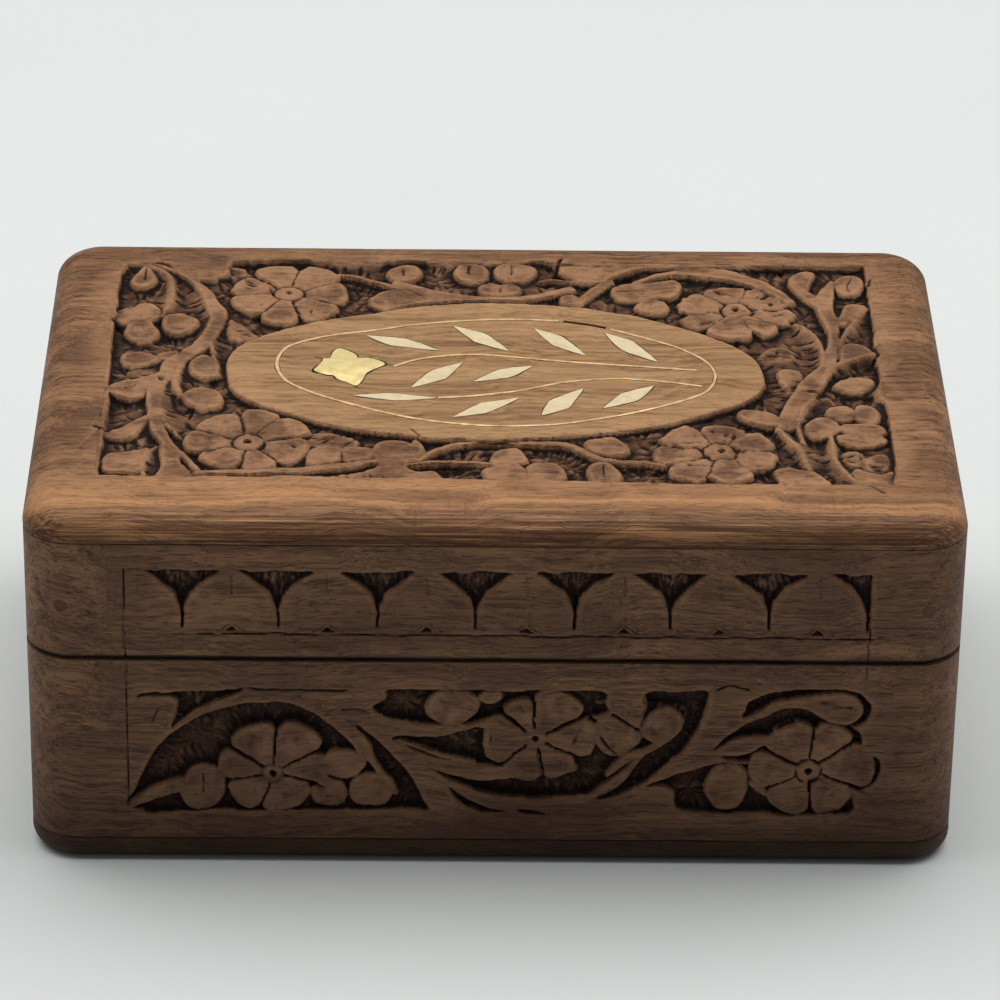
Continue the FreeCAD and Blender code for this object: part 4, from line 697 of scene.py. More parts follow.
BASE_CUTS = """
0.3 0.6 : -40.4,33 -31,32.8 -23,32.9
0.26 0.4 : 60,33.2 65,33.1
0.4 0.9 : -58,31.2 -56.4,31.8 -54,32
0.3 0.5 : -9.4,17.8 -7.6,16.4 -5,15.4
0.3 0.4 : -25,29.2 -22.4,29.4 -20,28.6
0.3 0.5 : 36,33.2 38.4,34.2 41.8,33.4
0.35 0.5 : 17,12.6 20.6,14.6 24.6,16.4
0.35 0.8 : 9.6,25.4 13,27 15.8,27.8
0.35 0.6 : 17.4,24.4 18.6,22.4 20.4,20.6
0.4 0.9 : 19,28.8 21.6,27 23.8,25.4
0.25 0.35 : -54.3,29.6 -55.4,26.6
0.3 0.3 : -47.3,17.4 -47.4,13
"""


def base_relief(half, seed, flip, shift=0.0, edge=None):
    """A base wall's outer face: flowers and arching stems between cuts; edge ends the field early on each side."""
    r = Relief(half, FLOOR_TOP, BASE_RIM, seed, ground=1.7, flip=flip, shift=shift)
    r.each(r.sink, BASE_HOLLOWS)
    r.each(r.stem, BASE_STEMS)
    r.ridge(pairs("-17.2,23.8 -13,22.4 -8,20.4 -3,19.4"), 0.3, 0.6, 2.2, 0.22)
    r.each(r.plate, BASE_LOBES)
    r.cut(pairs("52.8,31.2 55.4,30.6 58.6,30.2"), 0.8, 0.35)
    r.each(r.flower, BASE_FLOWERS)
    r.gouges(1500, 2.0, 0.34, 0.62, 0.5)
    r.each(r.cut, BASE_CUTS)
    ends = ((-59.6, FLOOR_TOP + 3), (60.3, 33.0))
    if edge:
        r.depth *= ease(0, 0.5, edge - np.abs(r.U))
        ends = ((-edge - shift, FLOOR_TOP + 3), (edge - shift, FLOOR_TOP + 3))
    for x, low in ends:
        r.cut([(x, low), (x + 0.2, BASE_RIM + 1)], 0.2, 0.38)
    scratches(r, half - 6, FLOOR_TOP + 0.5, BASE_RIM - 0.8)
    return r.finish()


# ---------------------------------------------------------------- meshes


def make_mesh(name, verts, faces):
    """A smooth-shaded mesh object from millimetres."""
    mesh = bpy.data.meshes.new(name)
    mesh.from_pydata((np.asarray(verts, float) * MM).tolist(), [], faces)
    mesh.update()
    obj = bpy.data.objects.new(name, mesh)
    bpy.context.scene.collection.objects.link(obj)
    mesh.polygons.foreach_set("use_smooth", [True] * len(mesh.polygons))
    return obj


def applied(obj):
    """Puts the object's modifiers into its mesh."""
    bpy.context.view_layer.update()
    graph = bpy.context.evaluated_depsgraph_get()
    mesh = bpy.data.meshes.new_from_object(obj.evaluated_get(graph))
    old = obj.data
    obj.modifiers.clear()
    obj.data = mesh
    mesh.name = obj.name
    if not old.users:
        bpy.data.meshes.remove(old)


def thin(obj, triangles):
    """Removes detail that flat wood doesn't need."""
    count = sum(len(p.vertices) - 2 for p in obj.data.polygons)
    if count > triangles:
        modifier = obj.modifiers.new("thin", "DECIMATE")
        modifier.ratio = triangles / count
        applied(obj)


def carve_out(obj, cutter):
    """Takes the cutter's space away from the object and removes the cutter."""
    modifier = obj.modifiers.new("carve", "BOOLEAN")
    modifier.operation = "DIFFERENCE"
    modifier.solver = "MANIFOLD"
    modifier.object = cutter
    applied(obj)
    bpy.data.objects.remove(cutter)


def points_of(obj):
    """Every vertex, in millimetres."""
    co = np.empty(len(obj.data.vertices) * 3, np.float32)
    obj.data.vertices.foreach_get("co", co)
    return co.reshape(-1, 3).astype(float) / MM


def store(obj, name, values):
    """Keeps one number per vertex for the materials to read."""
    attribute = obj.data.attributes.new(name, "FLOAT", "POINT")
    attribute.data.foreach_set("value", np.asarray(values, np.float32))


def paint(obj, relief, u, v, out):
    """Stores what the wood's material needs: u, v on the relief and out, the depth below the face."""
    near = (out < GROUND * 1.5) & (out > -0.5)
    grids = {"carve": relief.depth / GROUND, "hollow": relief.hollow, "shade": relief.shade, "plain": relief.plain}
    values = {name: np.where(near, relief.read(grid, u, v), 0.0) for name, grid in grids.items()}
    # Painted shade fills the walls and floors of the inlays' pockets.
    in_pocket = (relief.read(relief.plain, u, v) > 0.99) & (out > 0.34)
    values["hollow"] = np.where(in_pocket, 1.0, values["hollow"])
    for name in values:
        store(obj, name, values[name])


def crisp(obj, degrees):
    """Smooth faces with hard edges where the surface turns sharply."""
    mesh = obj.data
    mesh.polygons.foreach_set("use_smooth", [True] * len(mesh.polygons))
    mesh.set_sharp_from_angle(angle=math.radians(degrees))


def band(lower, upper):
    """The faces between two rings of vertex numbers."""
    return np.stack([lower, np.roll(lower, -1), np.roll(upper, -1), upper], 1).tolist()


def loop_mesh(name, loop, heights, depth):
    """A closed prism round a plan loop of (x, y, nx, ny), its sides pushed in along the normals by depth."""
    loop = np.array(loop, float)
    n, m = len(loop), len(heights)
    verts = np.empty((m, n, 3))
    verts[:, :, 0] = loop[:, 0] - loop[:, 2] * depth
    verts[:, :, 1] = loop[:, 1] - loop[:, 3] * depth
    verts[:, :, 2] = np.array(heights)[:, None]
    k = np.arange(n)
    faces = []
    for j in range(m - 1):
        faces += band(j * n + k, (j + 1) * n + k)
    faces.append(k[::-1].tolist())
    faces.append(((m - 1) * n + k).tolist())
    return make_mesh(name, verts.reshape(-1, 3), faces)


def worn_edges(low, high):
    """A wall's heights, close together where its edges are worn round, and how far its face falls back at each."""
    below, above = 0.62 if low == LID_RIM else 0.35, 0.35
    near = 1 - np.cos(np.linspace(0, math.pi / 2, 5))
    inner = np.arange(low + below + CELL / 2, high - above - CELL / 2, CELL)
    heights = np.concatenate([low + below * near, inner, (high - above * near)[::-1]])
    back = np.zeros(len(heights))
    for d, r in ((heights - low, below), (high - heights, above)):
        back += r - np.sqrt(np.maximum(r**2 - (r - d.clip(0, r)) ** 2, 0))
    return heights, back[:, None]


LONG_SIDES = ("front", "back")
TURNS = {"front": 0, "right": 90, "back": 180, "left": 270}


def turned(obj, side):
    """Turns a piece built facing the front to its own side."""
    obj.data.transform(Matrix.Rotation(math.radians(TURNS[side]), 4, "Z"))
    obj.data.update()


def long_wall(name, low, high, relief):
    """A front or back wall, wrapping round both corners."""
    flat = HALF_X - CORNER
    xs = np.linspace(-flat, flat, round(2 * flat / CELL) + 1)
    arc = [(CORNER, math.cos(a), math.sin(a)) for a in np.linspace(0, math.pi / 2, 26)]
    loop = [(-HALF_X, -INNER_Y, -1, 0)]
    loop += [(-flat - r * c, -HALF_Y + r - r * s, -c, -s) for r, c, s in arc]
    loop += [(x, -HALF_Y, 0, -1) for x in xs[1:-1]]
    loop += [(flat + r * s, -HALF_Y + r - r * c, s, -c) for r, c, s in arc]
    loop += [(HALF_X, -INNER_Y, 1, 0)]
    heights, back = worn_edges(low, high)
    x, y = np.array(loop)[:, :2].T
    worn = back * (0.7 + 0.5 * noise(x, y, 9.0, len(name)))
    across, up = x + 0 * worn, heights[:, None] + 0 * worn
    sink = np.where(np.abs(x) < flat, relief.read(relief.depth, across, up), 0.0)
    wave = 0.04 * noise(across + y * 0.7, up, 11.0, 9)
    depth = np.maximum(sink + wave + WALL_SHY, worn)
    depth[:, [0, -1]] = 0.0
    return loop_mesh(name, loop, heights, depth)


def short_wall(name, low, high, relief):
    """A left or right wall between the long ones."""
    xs = np.linspace(-INNER_Y, INNER_Y, round(2 * INNER_Y / CELL) + 1)
    loop = [(-INNER_Y, -INNER_X, 0, 0)] + [(x, -HALF_X, 0, -1) for x in xs] + [(INNER_Y, -INNER_X, 0, 0)]
    heights, back = worn_edges(low, high)
    x = np.array(loop)[:, 0]
    worn = back * np.ones(len(loop))
    ends = 0.12 * (1 - ease(0, 0.5, INNER_Y - np.abs(x)))
    sink = relief.read(relief.depth, x + 0 * worn, heights[:, None] + 0 * worn)
    return loop_mesh(name, loop, heights, np.maximum(sink + WALL_SHY + ends, worn))


KNUCKLE_ROOM = 1.95  # radius of the space for a hinge's knuckles
MORTISE_REACH, MORTISE_HALF = 6.5, 1.7  # how far in from the axis a hinge's mortise goes, and up and down
HINGE_GAP = 0.2  # free at each end of a hinge


def hinge_cutters():
    """The V groove along the back, then the room for the knuckles and the leaves' mortise at each hinge."""
    _, y, z = AXIS
    apex = y - 0.06
    run = HALF_Y - apex + 1
    rise = run * math.tan(STOP_ANGLE)
    around = np.linspace(0, 2 * math.pi, 32, endpoint=False)
    wide = HALF_X + 1
    yield "groove", [(apex, z), (apex + run, z - rise), (apex + run, z + rise)], -wide, wide
    for low, high in HINGE_SPANS:
        ends = low - HINGE_GAP, high + HINGE_GAP
        circle = [(y + KNUCKLE_ROOM * math.cos(a), z + KNUCKLE_ROOM * math.sin(a)) for a in around]
        yield "knuckle_room", circle, *ends
        deep, below, above = y - MORTISE_REACH, z - MORTISE_HALF, z + MORTISE_HALF
        yield "mortise", [(deep, below), (y, below), (y, above), (deep, above)], *ends


def side_prism(name, section, low, high):
    """A prism along x from low to high with a section of (y, z) points."""
    n = len(section)
    verts = [(x, y, z) for x in (low, high) for y, z in section]
    sides = [(k, (k + 1) % n, n + (k + 1) % n, n + k) for k in range(n)]
    return make_mesh(name, verts, [list(range(n))[::-1], list(range(n, 2 * n))] + sides)


def wall_piece(body, side, low, high, relief, triangles, material):
    """A carved wall with what its material needs stored on it, riding on its body."""
    node, long = f"{body}_{side}_wall", side in LONG_SIDES
    obj = (long_wall if long else short_wall)(node + "_carved", low, high, relief)
    thin(obj, triangles)
    turned(obj, side)
    if side == "back":
        for cutter in hinge_cutters():
            carve_out(obj, side_prism(*cutter))
    x, y, z = points_of(obj).T
    u, across = turned_by(math.radians(TURNS[side]), x, y)
    paint(obj, relief, u, z, across + (HALF_Y if long else HALF_X))
    crisp(obj, 48)
    own(obj, body, "rosewood", material, node)


def coat(obj, material):
    """Gives the object one material."""
    obj.data.materials.clear()
    obj.data.materials.append(material)


def own(obj, body, slot, material, *nodes):
    """Rides on its body, takes its material, and stands for its CAD nodes; the slot it is given is not used."""
    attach(obj, body)
    if nodes:
        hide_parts(*nodes)
    coat(obj, material)


def outline(inset):
    """The points of the box's plan, inset all round: four quarter arcs and the straights between them."""
    out = []
    for cx, cy, start in ((1, 1, 0), (-1, 1, 90), (-1, -1, 180), (1, -1, 270)):
        for a in np.linspace(0, math.pi / 2, 24) + math.radians(start):
            n = np.array([math.cos(a), math.sin(a)])
            c = np.array([cx * (HALF_X - CORNER), cy * (HALF_Y - CORNER)])
            out.append(c + n * (CORNER - inset))
    return out


def top_board(relief, pockets):
    """The top board: a fine grid for the carving, and a rim that rolls over to the sides."""
    nx, ny = len(relief.xs), len(relief.ys)
    face = TOP_FACE - SHY
    grid = np.stack([relief.X, relief.Y, TOP_FACE - relief.depth - SHY], 2).reshape(-1, 3)
    i, j = np.meshgrid(np.arange(nx - 1), np.arange(ny - 1), indexing="ij")
    a = (i * ny + j).ravel()
    faces = np.stack([a, a + ny, a + ny + 1, a + 1], 1).tolist()
    edge = [(k, 0) for k in range(nx)] + [(nx - 1, k) for k in range(1, ny)]
    edge += [(k, ny - 1) for k in range(nx - 2, -1, -1)] + [(0, k) for k in range(ny - 2, 0, -1)]
    ex, ey = relief.xs[-1], relief.ys[-1]
    zone, round_x, round_z = 7.0, 5.0, TOP_FACE - TOP_SEAM - 0.5
    flat_x, flat_y = HALF_X - CORNER, HALF_Y - CORNER
    base, normal = [], []
    for k, l in edge:
        x, y = relief.xs[k], relief.ys[l]
        on_y = l in (0, ny - 1) and abs(x) <= ex and not (k in (0, nx - 1) and l not in (0, ny - 1))
        u, half, flat = (x, ex, flat_x) if on_y else (y, ey, flat_y)
        inner = half - zone
        q = max(0.0, (abs(u) - inner) / zone)
        run = q * (flat - inner + CORNER * math.pi / 4)
        along = min(abs(u) if q == 0 else inner + run, flat)
        turn = max(0.0, run - (flat - inner)) / CORNER if q > 0 else 0.0
        sign = math.copysign(1, u)
        if on_y:
            n = (sign * math.sin(turn), math.copysign(math.cos(turn), y))
            c = (sign * along, math.copysign(flat_y, y))
        else:
            n = (math.copysign(math.cos(turn), x), sign * math.sin(turn))
            c = (math.copysign(flat_x, x), sign * along)
        base.append((c[0] + n[0] * CORNER, c[1] + n[1] * CORNER))
        normal.append(n)
    base, normal = np.array(base), np.array(normal)
    inner_ids = np.array([k * ny + l for k, l in edge])
    start = grid[inner_ids]
    rings = []
    shoulder = base - normal * round_x
    for t in np.linspace(0, 1, 5)[1:]:
        xy = start[:, :2] * (1 - t) + shoulder * t
        z = start[:, 2] * (1 - t) + face * t
        rings.append(np.column_stack([xy, z]))
    wobble = 0.25 * noise(base[:, 0], base[:, 1], 17.0, 3) + 0.12 * noise(base[:, 0], base[:, 1], 5.0, 4)
    for t in np.linspace(0, 1, 17)[1:]:
        phi = t * math.pi / 2
        soft = math.sin(2 * phi)
        inset = round_x * (1 - math.sin(phi)) + 0.05 * (1 + wobble) * soft
        xy = base - normal * inset[:, None]
        z = face - (round_z - SHY) * (1 - math.cos(phi)) - 0.10 * soft * (wobble + 0.4)
        rings.append(np.column_stack([xy, z]))
    for inset, up in ((SHY, 0.30), (0.08, 0.12), (0.25, 0.02), (0.45, 0.0)):
        rings.append(np.column_stack([base - normal * inset, np.full(len(base), TOP_SEAM + up)]))
    n = len(edge)
    verts = np.vstack([grid, *rings])
    previous = inner_ids
    k = np.arange(n)
    for r_index in range(len(rings)):
        ids = nx * ny + r_index * n + k
        faces += np.stack([previous, ids, np.roll(ids, -1), np.roll(previous, -1)], 1).tolist()
        previous = ids
    faces.append(previous[::-1].tolist())
    obj = make_mesh("lid_top_board_carved", verts, faces)
    thin(obj, 180000)
    carve_out(obj, pockets)
    p = points_of(obj)
    paint(obj, relief, p[:, 0], p[:, 1], TOP_FACE - p[:, 2])
    crisp(obj, 50)
    return obj


def floor_board():
    """The floor board: rounded below, its upper edge a little worn."""
    rings = [(inset, FLOOR_TOP - down) for inset, down in ((0.45, 0), (0.16, 0.05), (0.05, 0.2), (0.03, 0.6))]
    rings.append((0.0, 3.0))
    rings += [(3 - 3 * math.cos(a), 3 - 3 * math.sin(a)) for a in np.linspace(0, math.pi / 2, 9)[1:]]
    verts, faces = [], []
    for inset, z in rings:
        verts += [(x, y, z) for x, y in outline(inset)]
    n = len(verts) // len(rings)
    for j in range(len(rings) - 1):
        faces += [(j * n + (k + 1) % n, j * n + k, (j + 1) * n + k, (j + 1) * n + (k + 1) % n) for k in range(n)]
    faces += [list(range(n)), list(range(len(verts) - n, len(verts)))[::-1]]
    obj = make_mesh("base_floor_board", verts, faces)
    crisp(obj, 40)
    return obj


def twice_area(p):
    """Twice the area inside a closed outline, positive where it runs anticlockwise."""
    ahead = np.roll(p, -1, 0)
    return (p[:, 0] * ahead[:, 1] - ahead[:, 0] * p[:, 1]).sum()


def grown(shape, by):
    """A closed outline moved outwards, by one distance or one per point."""
    p = np.array(shape, float)
    t = np.roll(p, -1, 0) - np.roll(p, 1, 0)
    n = np.column_stack([t[:, 1], -t[:, 0]]) / np.hypot(t[:, 0], t[:, 1])[:, None]
    return p + math.copysign(1, twice_area(p)) * n * np.broadcast_to(by, len(p))[:, None]


def prism(shape, low, high, worn=0.0):
    """A plan outline's prism, its top edge worn round: points and faces."""
    p = np.array(shape, float)
    if twice_area(p) < 0:
        p = p[::-1]
    levels = [(0, low), (0, high)]
    if worn:
        levels[1:] = [(0, high - worn), (-0.3 * worn, high - 0.3 * worn), (-worn, high)]
    verts = np.vstack([np.column_stack([grown(p, by), np.full(len(p), z)]) for by, z in levels])
    n, k = len(p), np.arange(len(p))
    faces = []
    for j in range(len(levels) - 1):
        faces += band(j * n + k, (j + 1) * n + k)
    return verts, faces + [k[::-1].tolist(), ((len(levels) - 1) * n + k).tolist()]


def collar(outer, inner, low, high):
    """A flat ring between two outlines of as many points."""
    outer, inner = np.array(outer, float), np.array(inner, float)
    if twice_area(outer) < 0:
        outer, inner = outer[::-1], inner[::-1]
    n, k = len(outer), np.arange(len(outer))
    corners = ((outer, low), (outer, high), (inner, high), (inner, low))
    verts = np.vstack([np.column_stack([p, np.full(n, z)]) for p, z in corners])
    faces = []
    for j in range(4):
        faces += band(j * n + k, (j + 1) % 4 * n + k)
    return verts, faces


def gathered(name, parts):
    """Several closed shapes in one mesh object."""
    verts, faces = [], []
    for v, f in parts:
        base = sum(len(x) for x in verts)
        verts.append(v)
        faces += [[base + i for i in face] for face in f]
    obj = make_mesh(name, np.vstack(verts), faces)
    crisp(obj, 30)
    return obj


def ribbon(points, half, seed):
    """The outline of a hand-cut strip along a line."""
    line = smooth_line(points, 6)
    t = np.gradient(line, axis=0)
    n = np.column_stack([-t[:, 1], t[:, 0]]) / np.hypot(t[:, 0], t[:, 1])[:, None]
    wide = half * (1 + 0.22 * noise(line[:, 0], line[:, 1], 1.3, seed))
    return np.vstack([line + n * wide[:, None], (line - n * wide[:, None])[::-1]])


def leaf_outline(ax, ay, bx, by, width, seed):
    """A pointed sliver from a to b, cut by hand."""
    rng = np.random.default_rng(seed)
    a, b = np.array((ax, ay)), np.array((bx, by))
    along = b - a
    n = np.array((-along[1], along[0])) / np.hypot(*along)
    t = np.linspace(0, 1, 11)
    sides = []
    for sign in (1, -1):
        peak = 0.46 + rng.uniform(-0.09, 0.09)
        w = np.minimum(t / peak, (1 - t) / (1 - peak)) ** 0.85 * width / 2 * rng.uniform(0.9, 1.1)
        w = w * (1 + 0.05 * rng.uniform(-1, 1, len(t)))
        sides.append(a + t[:, None] * along + sign * n * w[:, None])
    return np.vstack([sides[0], sides[1][::-1][1:-1]])


LEAVES = (  # from x, y to x, y, and the width
    (-21.6, 13.8, -9.2, 8.5, 3.4), (-6.9, 17.6, 2.6, 8.4, 3.5), (6.9, 16.9, 15.6, 6.9, 3.6),
    (18.9, 15.4, 27.6, 4.9, 3.8), (-14.0, -5.1, -5.3, 4.1, 3.6), (-3.6, -2.8, 6.5, 3.1, 3.3),
    (-23.7, -8, -9.6, -8.7, 2.7), (-6.9, -15.4, 4.2, -8.4, 3.4), (7.7, -14.6, 14.9, -4.9, 3.9),
    (17.9, -11.9, 26.7, -3.7, 3.6),
)
QUATREFOIL = pairs(
    "-26.2,9.0 -24.6,8.1 -23.2,6.6 -22.9,5.5 -21.4,5.6 -19.8,4.9 -18.3,3.4 -19.8,1.8 -21.3,0.2 -21.7,-1.2 "
    "-22.2,-3.0 -23.1,-4.6 -24.6,-3.4 -26.2,-2.2 -26.9,-0.9 -28.2,-0.6 -30.2,0.8 -29.6,2.4 -28.9,4.2 -28.7,5.2 "
    "-27.6,5.4 -27.2,7.5"
)
WIRES = {
    "inlay_oval_line": (
        "19.9,16.9 25.4,13.9 30,11.1 32.6,8.9 35,6.3 36.5,3.4 37.1,0.2 36.5,-3.2 35.2,-5.8 33.2,-7.6 30,-9.7 "
        "25.2,-12.3 20.6,-14.3 14,-16.6 9.8,-17.6 4.8,-18.2 -0.2,-18.3 -5.2,-17.8 -9.3,-17 -13.5,-15.8 "
        "-17.7,-14.1 -21.8,-12.1 -26.3,-9.6 -30.5,-6.9 -33,-4.8 -34.9,-2.6 -36.1,0.5 -36.5,4 -35.8,7.6 -34.2,10.1 "
        "-30.5,12.5 -26.3,14.2 -20,15.9 -14.3,17.8 -9.3,18.9 -5.2,19.6 0,20.2 5,20.3 11.2,19.8"
    ),
    "inlay_stem_upper": (
        "-16.9,2.6 -14,4.6 -11,5.9 -6.5,6.9 -2,7.1 4,6.2 14,4.5 24,3.3 34,2"
    ),
    "inlay_stem_lower": (
        "-9.4,-8.5 -4,-7.9 0,-7.0 4,-5.9 7.5,-4.4 12,-2.6 20,-1.2 25,-1.6 30,-2.5 34.8,-3.8"
    ),
}


def inlay():
    """Slivers and strips let into the oval, each in a slightly larger pocket filled round with dark glue."""
    low, face = TOP_FACE - 1.1, TOP_FACE - 0.05
    pieces, pockets, seats = [], [], []
    shapes = []
    for k, leaf in enumerate(LEAVES):
        shapes.append((f"inlay_leaf_{k + 1:02d}", leaf_outline(*leaf, k), "leaf_inlay", 0.20))
    shapes.append(("inlay_quatrefoil", smooth_line(QUATREFOIL, 3, True), "flower_inlay", 0.28))
    for name, text in WIRES.items():
        shapes.append((name, ribbon(pairs(text), 0.27, 70), "line_inlay", 0.10))
    for k, (name, shape, slot, gap) in enumerate(shapes):
        shape = np.array(shape)
        room = gap * (1.0 + 0.75 * noise(shape[:, 0], shape[:, 1], 1.5, 80 + k))
        v, f = prism(shape, low, TOP_FACE, 0.05)
        pieces.append((name, slot, v, f))
        pockets.append(prism(grown(shape, room), low - 0.02, TOP_FACE + 1))
        seats.append(collar(grown(shape, room * 0.96), grown(shape, 0.008), low, face - 0.03))
    empty = ribbon(pairs("11.9,19.7 14,19.1 16.5,18.4 19.2,17.3"), 0.33, 71)
    pockets.append(prism(empty, TOP_FACE - 0.6, TOP_FACE + 1))
    return pieces, gathered("pockets", pockets), gathered("inlay_glue", seats)


def soft_board(name, node, face, edge, seed, crown=0.0, rise=6.0, wave=0.08):
    """A cloth-covered board in its CAD solid's space, its pile facing along face, such as "+z".

    edge is the radius of its edges, crown and rise how much lower it lies near them and how far in, and wave how
    uneven the cloth is, both as shares of its thickness.
    """
    low, high = span(node)
    axis = "xyz".index(face[1])
    a, b = [k for k in range(3) if k != axis]
    thick = high[axis] - low[axis]

    def steps(p, q):
        """Places from p to q, close together at the rounded edges."""
        near = edge * (1 - np.cos(np.linspace(0, math.pi / 2, 5)))
        middle = np.linspace(p + edge, q - edge, max(3, round((q - p) / 1.3)))[1:-1]
        return np.concatenate([p + near, middle, (q - near)[::-1]])

    us, vs = steps(low[a], high[a]), steps(low[b], high[b])
    u, v = np.meshgrid(us, vs, indexing="ij")
    d = np.minimum(np.minimum(u - low[a], high[a] - u), np.minimum(v - low[b], high[b] - v))
    t = (d / edge).clip(0, 1)
    full = thick * (1 - crown + crown * ease(0, rise, d))
    full = full - wave * (0.6 + 0.4 * noise(u, v, 13.0, seed) + 0.25 * noise(u, v, 4.0, seed + 1)) * thick
    out = full * (0.30 + 0.70 * np.sqrt(np.maximum(1 - (1 - t) ** 2, 0)))
    n, m = u.shape
    edge_ids = [(i, 0) for i in range(n)] + [(n - 1, j) for j in range(1, m)]
    edge_ids += [(i, m - 1) for i in range(n - 2, -1, -1)] + [(0, j) for j in range(m - 2, 0, -1)]
    verts = np.empty((n * m + len(edge_ids), 3))
    verts[: n * m, a], verts[: n * m, b] = u.ravel(), v.ravel()
    ring = np.array([i * m + j for i, j in edge_ids])
    base, sign = (low[axis], 1) if face[0] == "+" else (high[axis], -1)
    verts[: n * m, axis] = base + sign * out.ravel()
    verts[n * m :] = verts[ring]
    verts[n * m :, axis] = base
    i, j = np.meshgrid(np.arange(n - 1), np.arange(m - 1), indexing="ij")
    k = (i * m + j).ravel()
    faces = np.stack([k, k + m, k + m + 1, k + 1], 1).tolist()
    count, r = len(ring), np.arange(len(ring))
    faces += np.stack([ring, n * m + r, n * m + (r + 1) % count, np.roll(ring, -1)], 1).tolist()
    faces.append((n * m + r)[::-1].tolist())
    if (sign > 0) == (axis == 1):
        faces = [f[::-1] for f in faces]
    return make_mesh(name, verts, faces)


# ---------------------------------------------------------------- materials


MILLIMETRES = (1000, 1000, 1000)  # scales the object's own metres


class Shade:
    """Shorthand for building a node tree."""

    def __init__(self, name):
        self.material = bpy.data.materials.new(name)
        self.material.use_nodes = True
        self.tree = self.material.node_tree
        self.tree.nodes.clear()
        self.output = self.add("ShaderNodeOutputMaterial")
        self.shader = self.add("ShaderNodeBsdfPrincipled")
        self.link(self.shader.outputs[0], self.output.inputs[0])
        self.point = self.add("ShaderNodeTexCoord").outputs["Object"]

    def add(self, kind, **values):
        """A new node with the settings given."""
        node = self.tree.nodes.new(kind)
        for key, value in values.items():
            setattr(node, key, value)
        return node

    def link(self, source, target):
        """Feeds one socket from another."""
        self.tree.links.new(source, target)

    def put(self, value, socket):
        """Feeds a socket from another, or sets its value."""
        if isinstance(value, bpy.types.NodeSocket):
            self.link(value, socket)
        else:
            socket.default_value = value

    def scaled(self, scale, shift=(0, 0, 0), source=None):
        """The object's coordinates, or a source, scaled and then moved."""
        node = self.add("ShaderNodeMapping")
        self.link(source or self.point, node.inputs["Vector"])
        node.inputs["Scale"].default_value = scale
        node.inputs["Location"].default_value = shift
        return node.outputs[0]

    def noise(self, scale, vector, detail=3.0, rough=0.55, distort=0.0):
        """Noise around a half, as fine as scale."""
        node = self.add("ShaderNodeTexNoise")
        self.link(vector, node.inputs["Vector"])
        node.inputs["Scale"].default_value = scale
        node.inputs["Detail"].default_value = detail
        node.inputs["Roughness"].default_value = rough
        node.inputs["Distortion"].default_value = distort
        return node.outputs["Fac"]

    def math(self, operation, a, b=0.0, c=0.0):
        """Arithmetic on sockets or numbers."""
        node = self.add("ShaderNodeMath", operation=operation)
        for value, socket in zip((a, b, c), node.inputs):
            self.put(value, socket)
        return node.outputs[0]

    def times(self, a, b):
        """One socket or number times another."""
        return self.math("MULTIPLY", a, b)

    def ramp(self, value, low, high, to_low=0.0, to_high=1.0):
        """value carried from low..high to to_low..to_high, clamped."""
        node = self.add("ShaderNodeMapRange", clamp=True)
        for v, socket in zip((value, low, high, to_low, to_high), node.inputs):
            self.put(v, socket)
        return node.outputs[0]

    def mix(self, factor, a, b):
        """Colour a, carried to b by the factor."""
        node = self.add("ShaderNodeMix", data_type="RGBA", clamp_factor=True)
        self.put(factor, node.inputs[0])
        self.put(a, node.inputs[6])
        self.put(b, node.inputs[7])
        return node.outputs[2]

    def attribute(self, name):
        """A number that the mesh keeps for each vertex."""
        return self.add("ShaderNodeAttribute", attribute_name=name).outputs["Fac"]

    def finish(self, colour, rough, normal=None, **inputs):
        """Feeds the shader, an input's spaces written as underscores, and returns the material."""
        inputs = {"Base Color": colour, "Roughness": rough, **inputs}
        for name, value in inputs.items():
            self.put(value, self.shader.inputs[name.replace("_", " ")])
        if normal is not None:
            self.link(normal, self.shader.inputs["Normal"])
        return self.material

    def bump(self, height, strength, distance):
        """A normal that leans as the height changes."""
        node = self.add("ShaderNodeBump")
        node.inputs["Strength"].default_value = strength
        node.inputs["Distance"].default_value = distance
        self.link(height, node.inputs["Height"])
        return node.outputs[0]


def rgb(r, g, b):
    """An 8-bit display colour as linear RGBA."""
    shares = [c / 255 for c in (r, g, b)]
    return (*(c / 12.92 if c <= 0.04045 else ((c + 0.055) / 1.055) ** 2.4 for c in shares), 1.0)


